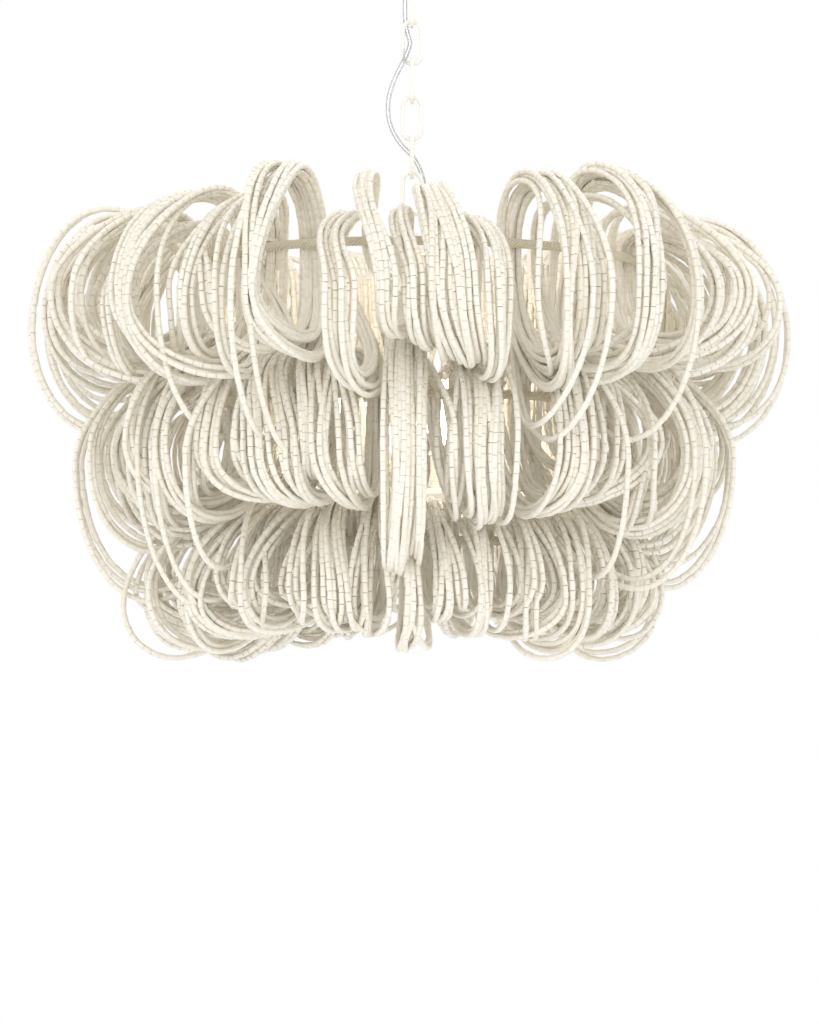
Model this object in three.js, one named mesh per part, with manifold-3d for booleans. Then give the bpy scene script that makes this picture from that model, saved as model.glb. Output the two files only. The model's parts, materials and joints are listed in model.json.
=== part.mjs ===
// Beaded chandelier: three wrapped rings on a central stem carry skeins of bead strands,
// looped round each ring like curtain rings, and hang on a painted chain from a canopy.
// Millimetres, +Z up. The origin is the middle of the ceiling face, and -Y is the front.

import * as THREE from 'three';
import { mergeVertices } from 'three/addons/utils/BufferGeometryUtils.js';
import Module from 'manifold-3d';

const wasm = await Module();
wasm.setup();

// Driving dimensions

const seat = 0.3; // gap left where two pieces rest on each other
const overrun = 2; // how far a cutting tool runs past the face it cuts
const weld = 1.5; // how far joined shapes of one piece run into each other

// ceiling fitting
const barEnd = 8.5; // bar left past the middle of each box screw
const barWidth = 24;
const barThickness = 3;
const bossDiameter = 20;
const bossHeight = 12;
const bossFloor = 2; // metal left above the blind hole in the boss
const boxScrewSpacing = 89;
const boxScrewDiameter = 4.2;
const boxScrewHole = 5;
const boxScrewHead = 8.5;
const boxScrewHeadHeight = 2.6;
const boxScrewReach = 9; // thread that goes up into the ceiling box
const canopyRadius = 66;
const canopyHeight = 42;
const canopyWall = 1.6;
const canopyLip = 4; // straight edge at the canopy's rim
const canopyCrown = 24; // radius of the flat round the canopy's hole
const nippleDiameter = 10;
const nippleBore = 7;
const nippleLength = 18; // bare nipple between the boss and the drum
const drumDiameter = 27;
const drumLength = 20;
const collarClearance = 0.4; // radial, between the drum and what slides over it
const nutDiameter = 38;
const nutHeight = 8;
const nutGrooves = 12;
const nutGrooveDiameter = 3;
const eyeDiameter = 26;

// chain and lead
const chainWire = 4.5;
const linkLength = 47;
const linkWidth = 23;
const linkCount = 6;
const cordDiameter = 5;
const cordTop = -24; // where the lead ends inside the nipple

// hub and stem
const hubLoopDiameter = 26;
const hubCollarDiameter = 20;
const hubCollarHeight = 15.6;
const hubBlockDiameter = 72;
const hubBlockHeight = 9;
const hubBlockEdge = 3;
const bushingReach = 24; // from the stem to the lead's bushing
const bushingDiameter = 11;
const bushingHeight = 6;
const bushingSpigot = 8;
const bushingSpigotDepth = 5;
const bushingBore = 6;
const stemDiameter = 10;
const stemClearance = 0.3; // radial, in the holes that the stem passes through
const stemEnd = 5; // stem held inside the hub loop's collar
const spiderHubDiameter = 34;
const spiderHubHeight = 8;
const armWidth = 12;
const armThickness = 3;
const spacerDiameter = 14;
const finialDiameter = 20;
const finialHeight = 28;
const finialGrip = 14; // stem held inside the finial

// tiers
const ringWire = 9; // rod and its twine binding
const tierDrop = 136; // from one ring down to the next
const tierSteps = 40; // sides of a drawn ring
const topRingRadius = 230;
const middleRingRadius = 190;
const bottomRingRadius = 150;
const topTurnReach = 151; // from a ring's middle out to the outer side of its turns
const middleTurnReach = 141;
const bottomTurnReach = 132;
const topTurnRise = 58; // from a ring's middle up to the tops of its turns
const middleTurnRise = 50;
const bottomTurnRise = 44;
const topTurnDrop = 142; // from a ring's middle down to the bottoms of its turns
const middleTurnDrop = 134;
const bottomTurnDrop = 126;
const tiers = [
  {
    name: 'top',
    ringRadius: topRingRadius,
    turnReach: topTurnReach,
    turnRise: topTurnRise,
    turnDrop: topTurnDrop,
    turnSteps: 10,
  },
  {
    name: 'middle',
    ringRadius: middleRingRadius,
    turnReach: middleTurnReach,
    turnRise: middleTurnRise,
    turnDrop: middleTurnDrop,
    turnSteps: 10,
  },
  {
    name: 'bottom',
    ringRadius: bottomRingRadius,
    turnReach: bottomTurnReach,
    turnRise: bottomTurnRise,
    turnDrop: bottomTurnDrop,
    turnSteps: 9,
  },
];

// skeins: the azimuth of each in degrees, from the front towards +X
const skeinAzimuths = {
  top: [-90, -66, -45, -27, -10, 6, 24, 46, 69, 94, 119, 144, 169, 194, 219, 244],
  middle: [-78, -55.5, -36, -18.5, -2, 15, 35, 57.5, 81.5, 106.5, 131.5, 156.5, 181.5, 206.5, 231.5, 257],
  bottom: [-90, -66, -45, -27, -10.5, 7.5, 25, 46, 69, 94, 119, 144, 169, 194, 219, 244],
};
// a skein's two turns, left and right: the reach, rise and drop of each as shares of the tier's
const turnShares = {
  top: [
    [[0.9, 0.95, 1], [1, 0.95, 0.9]], [[0.9, 0.9, 0.95], [0.8, 0.75, 0.8]],
    [[0.85, 0.9, 0.85], [0.9, 0.95, 0.95]], [[0.95, 1, 1], [0.9, 1, 1]],
    [[0.85, 0.85, 0.75], [1, 0.95, 0.8]], [[1, 0.9, 0.8], [1, 0.85, 0.85]],
    [[0.95, 1.05, 0.95], [0.9, 0.95, 1]], [[0.9, 0.95, 0.95], [0.8, 0.7, 0.65]],
    [[0.8, 0.8, 0.85], [0.85, 0.85, 0.85]], [[1, 0.85, 1], [0.85, 0.8, 0.85]],
    [[0.9, 0.8, 0.9], [0.9, 0.85, 0.9]], [[0.85, 0.8, 0.8], [0.9, 0.85, 0.9]],
    [[0.85, 0.9, 0.8], [1, 0.8, 0.9]], [[1, 0.85, 0.9], [0.9, 0.8, 0.85]],
    [[0.8, 0.75, 0.8], [0.8, 0.75, 0.8]], [[0.9, 0.95, 0.9], [0.8, 0.85, 0.8]],
  ],
  middle: [
    [[0.85, 0.9, 0.9], [0.8, 0.85, 0.9]], [[0.9, 0.9, 0.85], [0.9, 0.9, 0.9]],
    [[0.9, 1.05, 0.75], [0.9, 1.05, 0.8]], [[0.95, 0.8, 0.8], [0.95, 0.8, 0.75]],
    [[0.95, 1.05, 1.1], [0.95, 1.05, 1.15]], [[0.9, 0.9, 0.9], [0.9, 0.95, 0.95]],
    [[0.85, 0.95, 0.8], [0.9, 0.9, 0.75]], [[0.95, 1.05, 0.9], [0.9, 0.9, 0.9]],
    [[0.9, 0.9, 0.95], [0.9, 0.9, 0.9]], [[0.9, 0.8, 0.8], [0.9, 0.9, 0.85]],
    [[0.9, 0.8, 0.9], [0.9, 0.8, 0.9]], [[0.9, 0.8, 0.8], [0.9, 0.8, 0.85]],
    [[0.9, 0.95, 0.9], [0.9, 0.9, 0.9]], [[0.9, 0.85, 0.8], [0.9, 0.75, 0.85]],
    [[0.8, 0.85, 0.8], [0.85, 0.9, 0.85]], [[0.8, 0.8, 0.8], [0.85, 0.8, 0.85]],
  ],
  bottom: [
    [[0.9, 0.95, 1], [0.8, 0.9, 0.8]], [[0.85, 0.9, 0.8], [0.85, 0.9, 0.9]],
    [[0.9, 1.05, 0.9], [0.85, 0.95, 0.8]], [[0.85, 0.7, 0.7], [0.85, 1, 0.65]],
    [[0.95, 1.05, 0.6], [0.95, 1.05, 0.6]], [[0.85, 0.85, 0.65], [0.9, 0.9, 0.7]],
    [[0.85, 1, 0.6], [0.8, 0.95, 0.75]], [[0.8, 0.85, 0.9], [0.8, 0.65, 0.7]],
    [[0.9, 0.9, 0.95], [0.9, 0.9, 0.9]], [[1, 0.95, 1], [0.9, 0.9, 0.9]],
    [[0.8, 0.9, 0.8], [0.8, 0.9, 0.85]], [[0.9, 0.9, 1], [0.9, 0.9, 0.9]],
    [[0.9, 0.9, 0.9], [0.9, 1, 0.9]], [[0.9, 0.9, 0.9], [0.85, 0.9, 0.9]],
    [[0.9, 0.95, 0.9], [0.95, 1.05, 1]], [[0.95, 0.9, 0.85], [0.9, 0.8, 0.9]],
  ],
};
const armAzimuths = { top: [-36, 84, 204], middle: [-26, 94, 214], bottom: [-36, 84, 204] };
const turnThickness = 7;
const turnRoot = 9; // a turn's width where it is tied to the ring
const turnWidest = 26; // the most that a turn fans out at its outer side
const fanShare = 0.6; // a turn's width as a share of the arc to the next tier's skein
const turnGap = 1.1; // between neighbouring turns of one skein
const turnDraw = 1.3; // how closely a turn is drawn in by its tie: 1 is round, more is pear-shaped
const turnSag = 60; // how much lower a turn's outer side lies than its ring
const runBend = 8; // bend of the run that leads from one skein to the next

// light
const lampDrop = 82; // from the middle ring down to the lampholders' seats
const lampReach = 75;
const lampCount = 3;
const lampFirstAzimuth = 35;
const clusterDiameter = 40;
const clusterHeight = 14;
const clusterArmDiameter = 10;
const clusterCupDiameter = 24;
const clusterCupHeight = 6;
const holderDiameter = 26;
const holderHeight = 40;
const holderFloor = 12;
const holderRim = 30;
const holderRimHeight = 4;
const bulbCapDiameter = 16;
const bulbCapLength = 28;
const bulbCapClearance = 0.4;
const bulbDiameter = 35;
const bulbLength = 74; // glass only
const bulbShoulderShare = 0.38; // height of the glass's widest place

// Places that follow from them

const barLength = boxScrewSpacing + 2 * barEnd;
const drumTop = -(barThickness + bossHeight + nippleLength);
const drumBottom = drumTop - drumLength;
const nutTop = -(canopyHeight + seat);
const eyeMiddle = drumBottom + weld - eyeDiameter / 2;
const eyeBar = eyeMiddle - (eyeDiameter - chainWire) / 2;
const linkPitch = linkLength - 2 * chainWire - seat;
const firstLink = eyeBar + chainWire + seat - (linkLength - chainWire) / 2;
const lastBar = firstLink - (linkCount - 1) * linkPitch - (linkLength - chainWire) / 2;
const hubLoopMiddle = lastBar + chainWire + seat - (hubLoopDiameter - chainWire) / 2;
const collarTop = hubLoopMiddle - hubLoopDiameter / 2 + weld;
const collarBottom = collarTop - hubCollarHeight;
const blockTop = collarBottom - seat;
const blockBottom = blockTop - hubBlockHeight;
const armSeat = ringWire / 2 + seat; // an arm's underside above its ring's middle
const topRing = blockBottom - seat - spiderHubHeight - armSeat;
const stemHole = stemDiameter + 2 * stemClearance;

tiers.forEach((tier, index) => {
  tier.height = topRing - index * tierDrop;
  tier.hubBottom = tier.height + armSeat;
  tier.hubTop = tier.hubBottom + spiderHubHeight;
});
const [topTier, middleTier, bottomTier] = tiers;
const lampSeat = middleTier.height - lampDrop;
const clusterTop = lampSeat - seat - clusterCupHeight + clusterHeight / 2;
const clusterBottom = clusterTop - clusterHeight;
const finialTop = bottomTier.hubBottom - seat;

// Shapes

/** Position only, shared vertices merged, no flat triangles, faces pointing out. */
function closed(geometry) {
  const bare = geometry.clone();
  for (const name of Object.keys(bare.attributes)) {
    if (name !== 'position') bare.deleteAttribute(name);
  }
  const merged = mergeVertices(bare);
  const position = merged.getAttribute('position');
  const kept = [];
  let volume = 0;
  const corner = [0, 1, 2].map(() => new THREE.Vector3());
  for (let i = 0; i < merged.index.count; i += 3) {
    const [a, b, c] = [0, 1, 2].map((k) => merged.index.getX(i + k));
    if (a === b || b === c || c === a) continue;
    kept.push(a, b, c);
    [a, b, c].forEach((v, k) => corner[k].fromBufferAttribute(position, v));
    volume += corner[0].dot(corner[1].clone().cross(corner[2]));
  }
  if (volume < 0) kept.reverse();
  const result = new THREE.BufferGeometry();
  result.setAttribute('position', position);
  result.setIndex(kept);
  return result;
}

/** A closed geometry as a solid for cutting and joining. */
function solid(geometry) {
  const shell = closed(geometry);
  return new wasm.Manifold(
    new wasm.Mesh({
      numProp: 3,
      vertProperties: new Float32Array(shell.getAttribute('position').array),
      triVerts: new Uint32Array(shell.index.array),
    }),
  );
}

/** A solid as a geometry again. */
function shapeOf(body) {
  const mesh = body.getMesh();
  const geometry = new THREE.BufferGeometry();
  geometry.setAttribute('position', new THREE.BufferAttribute(mesh.vertProperties, 3));
  geometry.setIndex([...mesh.triVerts]);
  return geometry;
}

/** Several shapes joined into one, less the shapes that are cut away. */
function joined(shapes, cuts = []) {
  const body = shapes.map(solid).reduce((sum, next) => sum.add(next));
  return shapeOf(cuts.map(solid).reduce((rest, next) => rest.subtract(next), body));
}

/** A profile of [radius, height] points spun about the Z axis. */
function spun(profile, sides) {
  const points = profile.map(([radius, height]) => new THREE.Vector2(radius, height));
  return new THREE.LatheGeometry(points, sides).rotateX(Math.PI / 2);
}

/** An upright cylinder between two heights. */
function post(diameter, low, high, sides, x = 0, y = 0) {
  const height = high - low;
  return new THREE.CylinderGeometry(diameter / 2, diameter / 2, height, sides)
    .rotateX(Math.PI / 2)
    .translate(x, y, low + height / 2);
}

/** An upright tube between two heights. */
function sleeve(outer, bore, low, high, sides) {
  return spun(
    [
      [bore / 2, low],
      [outer / 2, low],
      [outer / 2, high],
      [bore / 2, high],
      [bore / 2, low],
    ],
    sides,
  );
}

/** The unit vector that points outwards at an azimuth in degrees. */
function outwards(azimuth) {
  const angle = THREE.MathUtils.degToRad(azimuth);
  return new THREE.Vector3(Math.sin(angle), -Math.cos(angle), 0);
}

/** Turns a shape that lies along +X to an azimuth. */
function turnedTo(geometry, azimuth) {
  return geometry.rotateZ(THREE.MathUtils.degToRad(azimuth - 90));
}

const chandelier = new THREE.Group();

/** Adds one named piece. */
function place(name, geometry, material) {
  const mesh = new THREE.Mesh(closed(geometry), material);
  mesh.name = name;
  chandelier.add(mesh);
  return mesh;
}

// Materials

function finish(name, color, roughness, metalness) {
  return new THREE.MeshStandardMaterial({ name, color, roughness, metalness });
}

const paintedMetal = finish('painted metal', 0xf1ecdf, 0.5, 0.1);
const plainSteel = finish('plain steel', 0xb4b4ae, 0.4, 0.9);
const twineBinding = finish('twine binding', 0xe9dfc6, 0.9, 0);
const beads = finish('beads', 0xefe9da, 0.55, 0);
const clearLead = finish('clear lead', 0xc9cdd0, 0.25, 0);
const bushingPlastic = finish('bushing plastic', 0xe8e4d8, 0.5, 0);
const holderPlastic = finish('lampholder plastic', 0xeeeae0, 0.45, 0);
const frostedGlass = finish('frosted glass', 0xfff6e6, 0.3, 0);

// Ceiling fitting

function makeCrossbar() {
  const bar = new THREE.BoxGeometry(barLength, barWidth, barThickness);
  bar.translate(0, 0, -barThickness / 2);
  const bossBottom = -(barThickness + bossHeight);
  const boss = post(bossDiameter, bossBottom, -barThickness + weld, 16);
  const bore = post(nippleDiameter + 2 * seat, bossBottom - overrun, -barThickness - bossFloor, 16);
  const holes = [-1, 1].map((side) => {
    const x = (side * boxScrewSpacing) / 2;
    return post(boxScrewHole, -barThickness - overrun, overrun, 12, x);
  });
  place('ceiling_crossbar', joined([bar, boss], [bore, ...holes]), plainSteel);
}

function makeBoxScrew(name, side) {
  const headTop = -(barThickness + seat);
  const profile = [
    [0, headTop - boxScrewHeadHeight],
    [boxScrewHead * 0.3, headTop - boxScrewHeadHeight],
    [boxScrewHead / 2, headTop - boxScrewHeadHeight / 3],
    [boxScrewHead / 2, headTop],
    [boxScrewDiameter / 2, headTop],
    [boxScrewDiameter / 2, boxScrewReach - boxScrewDiameter / 4],
    [boxScrewDiameter / 4, boxScrewReach],
    [0, boxScrewReach],
  ];
  const screw = spun(profile, 8).translate((side * boxScrewSpacing) / 2, 0, 0);
  place(name, screw, plainSteel);
}

function makeCanopy() {
  const steps = 5;
  const hole = drumDiameter / 2 + collarClearance;
  const dome = (inset) => {
    const outline = [];
    for (let i = 0; i <= steps; i++) {
      const angle = (i / steps) * (Math.PI / 2);
      outline.push([
        canopyCrown + (canopyRadius - inset - canopyCrown) * Math.cos(angle),
        -canopyLip - (canopyHeight - inset - canopyLip) * Math.sin(angle),
      ]);
    }
    return outline;
  };
  const profile = [
    [canopyRadius, 0],
    ...dome(0),
    [hole, -canopyHeight],
    [hole, -canopyHeight + canopyWall],
    ...dome(canopyWall).reverse(),
    [canopyRadius - canopyWall, 0],
    [canopyRadius, 0],
  ];
  place('canopy', spun(profile, 24), paintedMetal);
}

function makeCollarNut() {
  const bore = drumDiameter + 2 * collarClearance;
  const nut = sleeve(nutDiameter, bore, nutTop - nutHeight, nutTop, 24);
  const grooves = [];
  for (let i = 0; i < nutGrooves; i++) {
    const at = outwards((i * 360) / nutGrooves + 360 / nutGrooves / 2).multiplyScalar(nutDiameter / 2);
    grooves.push(post(nutGrooveDiameter, nutTop - nutHeight - overrun, nutTop + overrun, 6, at.x, at.y));
  }
  place('collar_nut', joined([nut], grooves), paintedMetal);
}

/** A ring of round wire that stands upright, facing the front or the side. */
function standingRing(outer, wire, height, facesSide) {
  const ring = new THREE.TorusGeometry((outer - wire) / 2, wire / 2, 8, 20);
  ring.rotateX(Math.PI / 2);
  if (facesSide) ring.rotateZ(Math.PI / 2);
  return ring.translate(0, 0, height);
}

function makeScrewLoop() {
  const nippleTop = -(barThickness + bossFloor + seat);
  const nipple = post(nippleDiameter, drumTop - weld, nippleTop, 16);
  const drum = post(drumDiameter, drumBottom, drumTop, 24);
  const eye = standingRing(eyeDiameter, chainWire, eyeMiddle, false);
  const bore = post(nippleBore, drumBottom - chainWire, nippleTop + overrun, 12);
  const eyeBelow = solid(eye);
  const body = [nipple, drum].map(solid).reduce((sum, next) => sum.add(next));
  const whole = body.add(eyeBelow).subtract(solid(bore));
  place('screw_loop', shapeOf(whole), paintedMetal);
}

// Chain

/** The middle line of a link's wire: two straights and two half circles, in the YZ plane. */
class LinkLine extends THREE.Curve {
  constructor(length, width, steps) {
    super();
    const radius = width / 2;
    const straight = length / 2 - radius;
    this.stations = [];
    for (const end of [1, -1]) {
      for (let i = 0; i <= steps; i++) {
        const angle = (i / steps) * Math.PI;
        const y = end * radius * Math.cos(angle);
        this.stations.push(new THREE.Vector3(0, y, end * (straight + radius * Math.sin(angle))));
      }
    }
  }

  getPoint(t, target = new THREE.Vector3()) {
    const count = this.stations.length;
    const place = (((t % 1) + 1) % 1) * count;
    const i = Math.floor(place) % count;
    return target.lerpVectors(this.stations[i], this.stations[(i + 1) % count], place % 1);
  }

  getTangent(t, target = new THREE.Vector3()) {
    const little = 1e-4;
    return target.copy(this.getPoint(t + little)).sub(this.getPoint(t - little)).normalize();
  }

  getUtoTmapping(u) {
    return u;
  }
}

function makeLink(index) {
  const line = new LinkLine(linkLength - chainWire, linkWidth - chainWire, 6);
  const link = new THREE.TubeGeometry(line, line.stations.length, chainWire / 2, 8, true);
  if (index % 2) link.rotateZ(Math.PI / 2);
  link.translate(0, 0, firstLink - index * linkPitch);
  place(`chain_link_${index + 1}`, link, paintedMetal);
}

// Lead: straight out of the drum, woven through the links, down into the hub's bushing

const leadRoute = [
  [0, 0, cordTop],
  [0, 0, -40],
  [0, 0, -54],
  [-2.2, 3.2, -64],
  [-6.2, 8, -75],
  [-7, 9, -90],
  [-6.6, 8.4, -106],
  [-4.6, 5, -118],
  [-2, 0, -129.4],
  [-5, -5.4, -141],
  [-10, -7.6, -152],
  [-17.5, -7, -167],
  [-23, -5, -184],
  [-24, -3, -199],
  [-20.5, -1, -215],
  [-11.5, 0.5, -230],
  [0.5, 1.5, -242.5],
  [7.5, 5, -254],
  [12, 7.6, -268],
  [15.5, 8, -282],
  [19, 7, -296.4],
  [22.6, 3.6, -310],
  [24, 0.6, -322],
  [24, 0, -332],
];

function makeLead() {
  const points = leadRoute.map(([x, y, z]) => new THREE.Vector3(x, y, z));
  points.push(new THREE.Vector3(bushingReach, 0, blockTop - bushingSpigotDepth / 2));
  const sides = 8;
  const section = new THREE.Shape();
  for (let i = 0; i < sides; i++) {
    const angle = (i / sides) * 2 * Math.PI;
    const [x, y] = [(cordDiameter / 2) * Math.cos(angle), (cordDiameter / 2) * Math.sin(angle)];
    if (i) section.lineTo(x, y);
    else section.moveTo(x, y);
  }
  const route = new THREE.CatmullRomCurve3(points, false, 'centripetal');
  console.log(`lead length ${route.getLength().toFixed(1)} mm`);
  const tube = new THREE.ExtrudeGeometry(section, { steps: 36, extrudePath: route });
  place('power_cord', tube, clearLead);
}

// Hub and stem

function makeHubLoop() {
  const loop = standingRing(hubLoopDiameter, chainWire, hubLoopMiddle, true);
  const collar = post(hubCollarDiameter, collarBottom, collarTop, 16);
  const bore = post(stemHole, collarBottom - overrun, collarBottom + stemEnd + seat, 12);
  place('hub_loop', joined([loop, collar], [bore]), paintedMetal);
}

function makeHubBlock() {
  const radius = hubBlockDiameter / 2;
  const block = spun(
    [
      [stemHole / 2, blockBottom],
      [radius, blockBottom],
      [radius, blockTop - hubBlockEdge],
      [radius - hubBlockEdge, blockTop],
      [stemHole / 2, blockTop],
      [stemHole / 2, blockBottom],
    ],
    24,
  );
  const socket = post(
    bushingSpigot + 2 * seat,
    blockTop - bushingSpigotDepth - seat,
    blockTop + overrun,
    12,
    bushingReach,
  );
  place('hub_block', joined([block], [socket]), paintedMetal);
}

function makeBushing() {
  const low = blockTop - bushingSpigotDepth;
  const flange = blockTop + seat;
  const bushing = spun(
    [
      [bushingBore / 2, low],
      [bushingSpigot / 2, low],
      [bushingSpigot / 2, flange],
      [bushingDiameter / 2, flange],
      [bushingDiameter / 2, flange + bushingHeight / 3],
      [bushingDiameter / 2 - bushingHeight / 4, flange + bushingHeight],
      [bushingBore / 2, flange + bushingHeight],
      [bushingBore / 2, low],
    ],
    12,
  );
  place('cord_bushing', bushing.translate(bushingReach, 0, 0), bushingPlastic);
}

function makeStem() {
  place('stem', post(stemDiameter, finialTop - finialGrip, collarBottom + stemEnd, 12), plainSteel);
}

function makeSpacer(name, low, high) {
  place(name, sleeve(spacerDiameter, stemHole, low + seat, high - seat, 12), paintedMetal);
}

const finialShares = [
  [0, 0],
  [0.35, 0.03],
  [0.5, 0.15],
  [0.35, 0.28],
  [0.85, 0.42],
  [1, 0.6],
  [0.85, 0.78],
  [1, 0.9],
  [1, 1],
  [0, 1],
];

function makeFinial() {
  const bottom = finialTop - finialHeight;
  const profile = finialShares.map(([radiusShare, heightShare]) => {
    return [(radiusShare * finialDiameter) / 2, bottom + heightShare * finialHeight];
  });
  const body = spun(profile, 12);
  const grip = post(stemHole, finialTop - finialGrip - seat, finialTop + overrun, 12);
  place('finial', joined([body], [grip]), paintedMetal);
}

// Tiers

/** A hub on the stem with three flat arms that lie on the ring. */
function makeSpider(tier) {
  const hub = post(spiderHubDiameter, tier.hubBottom, tier.hubTop, 24);
  const length = tier.ringRadius + ringWire / 2;
  const arms = armAzimuths[tier.name].map((azimuth) => {
    const arm = new THREE.BoxGeometry(length, armWidth, armThickness);
    arm.translate(length / 2, 0, tier.hubBottom + armThickness / 2);
    return turnedTo(arm, azimuth);
  });
  const bore = post(stemHole, tier.hubBottom - overrun, tier.hubTop + overrun, 12);
  place(`${tier.name}_spider`, joined([hub, ...arms], [bore]), paintedMetal);
}

function makeRing(tier) {
  const ring = new THREE.TorusGeometry(tier.ringRadius, ringWire / 2, 8, tierSteps);
  place(`${tier.name}_ring`, ring.translate(0, 0, tier.height), twineBinding);
}

/** How far a turn fans out, from the arc to the nearest skein of a neighbouring tier. */
function turnWidth(tier, azimuth) {
  const index = tiers.indexOf(tier);
  const others = [tiers[index - 1], tiers[index + 1]].filter(Boolean);
  const arcs = others.map((other) => {
    const away = skeinAzimuths[other.name].map((a) => {
      const turn = Math.abs(a - azimuth) % 360;
      return Math.min(turn, 360 - turn);
    });
    const meeting = (tier.ringRadius + other.ringRadius) / 2 + ringWire;
    return THREE.MathUtils.degToRad(Math.min(...away)) * meeting;
  });
  return Math.max(turnRoot, Math.min(turnWidest, fanShare * Math.min(...arcs)));
}

/** The stations of one skein: its place round and away from the stem, its height and width. */
function skeinStations(tier, index, first, last) {
  const azimuth = skeinAzimuths[tier.name][index];
  const flatSide = Math.cos(Math.PI / tierSteps);
  const inner = (tier.ringRadius - ringWire / 2) * flatSide - seat - turnThickness / 2;
  const widest = turnWidth(tier, azimuth);
  const rootPitch = turnRoot + turnGap;
  const stations = [];
  const add = (along, radius, height, width) => {
    stations.push({ azimuth, along, radius, height: tier.height + height, width });
  };
  if (first) add(-rootPitch, inner, -turnThickness, turnRoot);
  turnShares[tier.name][index].forEach(([reachShare, riseShare, dropShare], turn) => {
    const outer = tier.ringRadius + tier.turnReach * reachShare - turnThickness / 2;
    const sag = turnSag * reachShare;
    const upper = tier.turnRise * riseShare + sag / 2;
    const lower = tier.turnDrop * dropShare - sag / 2;
    for (let step = 0; step < tier.turnSteps; step++) {
      const share = step / tier.turnSteps;
      const angle = share * 2 * Math.PI;
      const fan = (1 - Math.cos(angle)) / 2;
      const width = turnRoot + (widest - turnRoot) * fan;
      const drift = 0.5 + 0.5 * (2 * share - 1) ** 3;
      const along = (width + turnGap) * (turn - 1 + drift);
      const radius = inner + (outer - inner) * fan ** turnDraw;
      const half = angle < Math.PI ? upper : lower;
      add(along, radius, half * Math.sin(angle) - sag * fan, width);
    }
  });
  const bend = (x, y) => add(x, inner, y, turnRoot);
  if (last) {
    bend(rootPitch, -turnThickness);
    bend(rootPitch, 0);
  } else {
    const corner = runBend * Math.SQRT1_2;
    bend(rootPitch, -2 * runBend);
    bend(rootPitch + runBend - corner, -2 * runBend + corner);
    bend(rootPitch + runBend, -runBend);
  }
  return stations;
}

/** The bend that leads from the run up into the next skein. */
function leadIn(tier, azimuth, like) {
  const corner = runBend * Math.SQRT1_2;
  const rootPitch = turnRoot + turnGap;
  return [
    { ...like, azimuth, along: -rootPitch - runBend, height: tier.height - runBend },
    { ...like, azimuth, along: -rootPitch - runBend + corner, height: tier.height - corner },
  ];
}

/** A flat strap swept through stations: one unbroken tube of four sides with closed ends. */
function strap(stations) {
  const centre = stations.map((s) => {
    const round = s.azimuth + THREE.MathUtils.radToDeg(s.along / s.radius);
    return outwards(round).multiplyScalar(s.radius).setZ(s.height);
  });
  const rows = centre.map((point, i) => {
    const before = centre[Math.max(i - 1, 0)];
    const after = centre[Math.min(i + 1, centre.length - 1)];
    const tangent = after.clone().sub(before).normalize();
    const outward = new THREE.Vector3(point.x, point.y, 0).normalize();
    const across = new THREE.Vector3(0, 0, 1).cross(outward);
    const inRun = Math.abs(tangent.dot(across)) > Math.SQRT1_2 / 2 && stations[i].width === turnRoot;
    const wide = inRun ? outward.clone().cross(tangent) : across;
    const thin = tangent.clone().cross(wide).normalize();
    const side = thin.clone().cross(tangent).normalize().multiplyScalar(stations[i].width / 2);
    thin.multiplyScalar(turnThickness / 2);
    return [
      point.clone().add(side).add(thin),
      point.clone().sub(side).add(thin),
      point.clone().sub(side).sub(thin),
      point.clone().add(side).sub(thin),
    ];
  });
  return { centre, rows };
}

function strapGeometry(rows) {
  const positions = rows.flat().flatMap((p) => [p.x, p.y, p.z]);
  const index = [];
  for (let i = 0; i + 1 < rows.length; i++) {
    for (let k = 0; k < 4; k++) {
      const a = 4 * i + k;
      const b = 4 * i + ((k + 1) % 4);
      index.push(a, b, b + 4, a, b + 4, a + 4);
    }
  }
  const end = 4 * (rows.length - 1);
  index.push(0, 2, 1, 0, 3, 2, end, end + 1, end + 2, end, end + 2, end + 3);
  const geometry = new THREE.BufferGeometry();
  geometry.setAttribute('position', new THREE.Float32BufferAttribute(positions, 3));
  geometry.setIndex(index);
  return geometry;
}

/** The least distance from a strap's corners to its long edges half a turn or more away. */
function leastGap(rows, halfTurn) {
  const edge = new THREE.Line3();
  const nearest = new THREE.Vector3();
  let least = Infinity;
  rows.forEach((row, i) => {
    rows.forEach((start, j) => {
      if (j + 1 === rows.length || Math.abs(j - i) < halfTurn) return;
      start.forEach((from, k) => {
        edge.set(from, rows[j + 1][k]);
        for (const point of row) {
          edge.closestPointToPoint(point, true, nearest);
          least = Math.min(least, point.distanceTo(nearest));
        }
      });
    });
  });
  return least;
}

const gaps = [];

function makeSkeinPair(tier, number) {
  const left = 2 * number;
  const right = left + 1;
  const stations = skeinStations(tier, left, true, false);
  stations.push(...leadIn(tier, skeinAzimuths[tier.name][right], stations.at(-1)));
  stations.push(...skeinStations(tier, right, false, true));
  const { rows } = strap(stations);
  gaps.push(leastGap(rows, Math.floor(tier.turnSteps / 2)));
  place(`${tier.name}_skeins_${number + 1}`, strapGeometry(rows), beads);
}

// Light

function lampPlace(index) {
  return outwards(lampFirstAzimuth + (index * 360) / lampCount).multiplyScalar(lampReach);
}

function makeCluster() {
  const body = post(clusterDiameter, clusterBottom, clusterTop, 16);
  const shapes = [body];
  const middle = (clusterTop + clusterBottom) / 2;
  const cupTop = lampSeat - seat;
  for (let i = 0; i < lampCount; i++) {
    const arm = new THREE.CylinderGeometry(clusterArmDiameter / 2, clusterArmDiameter / 2, lampReach, 8);
    arm.rotateZ(Math.PI / 2).translate(lampReach / 2, 0, middle);
    shapes.push(turnedTo(arm, lampFirstAzimuth + (i * 360) / lampCount));
    const at = lampPlace(i);
    shapes.push(post(clusterCupDiameter, middle - clusterArmDiameter / 2, cupTop, 12, at.x, at.y));
  }
  const bore = post(stemHole, clusterBottom - overrun, clusterTop + overrun, 12);
  place('lamp_cluster', joined(shapes, [bore]), paintedMetal);
}

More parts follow.
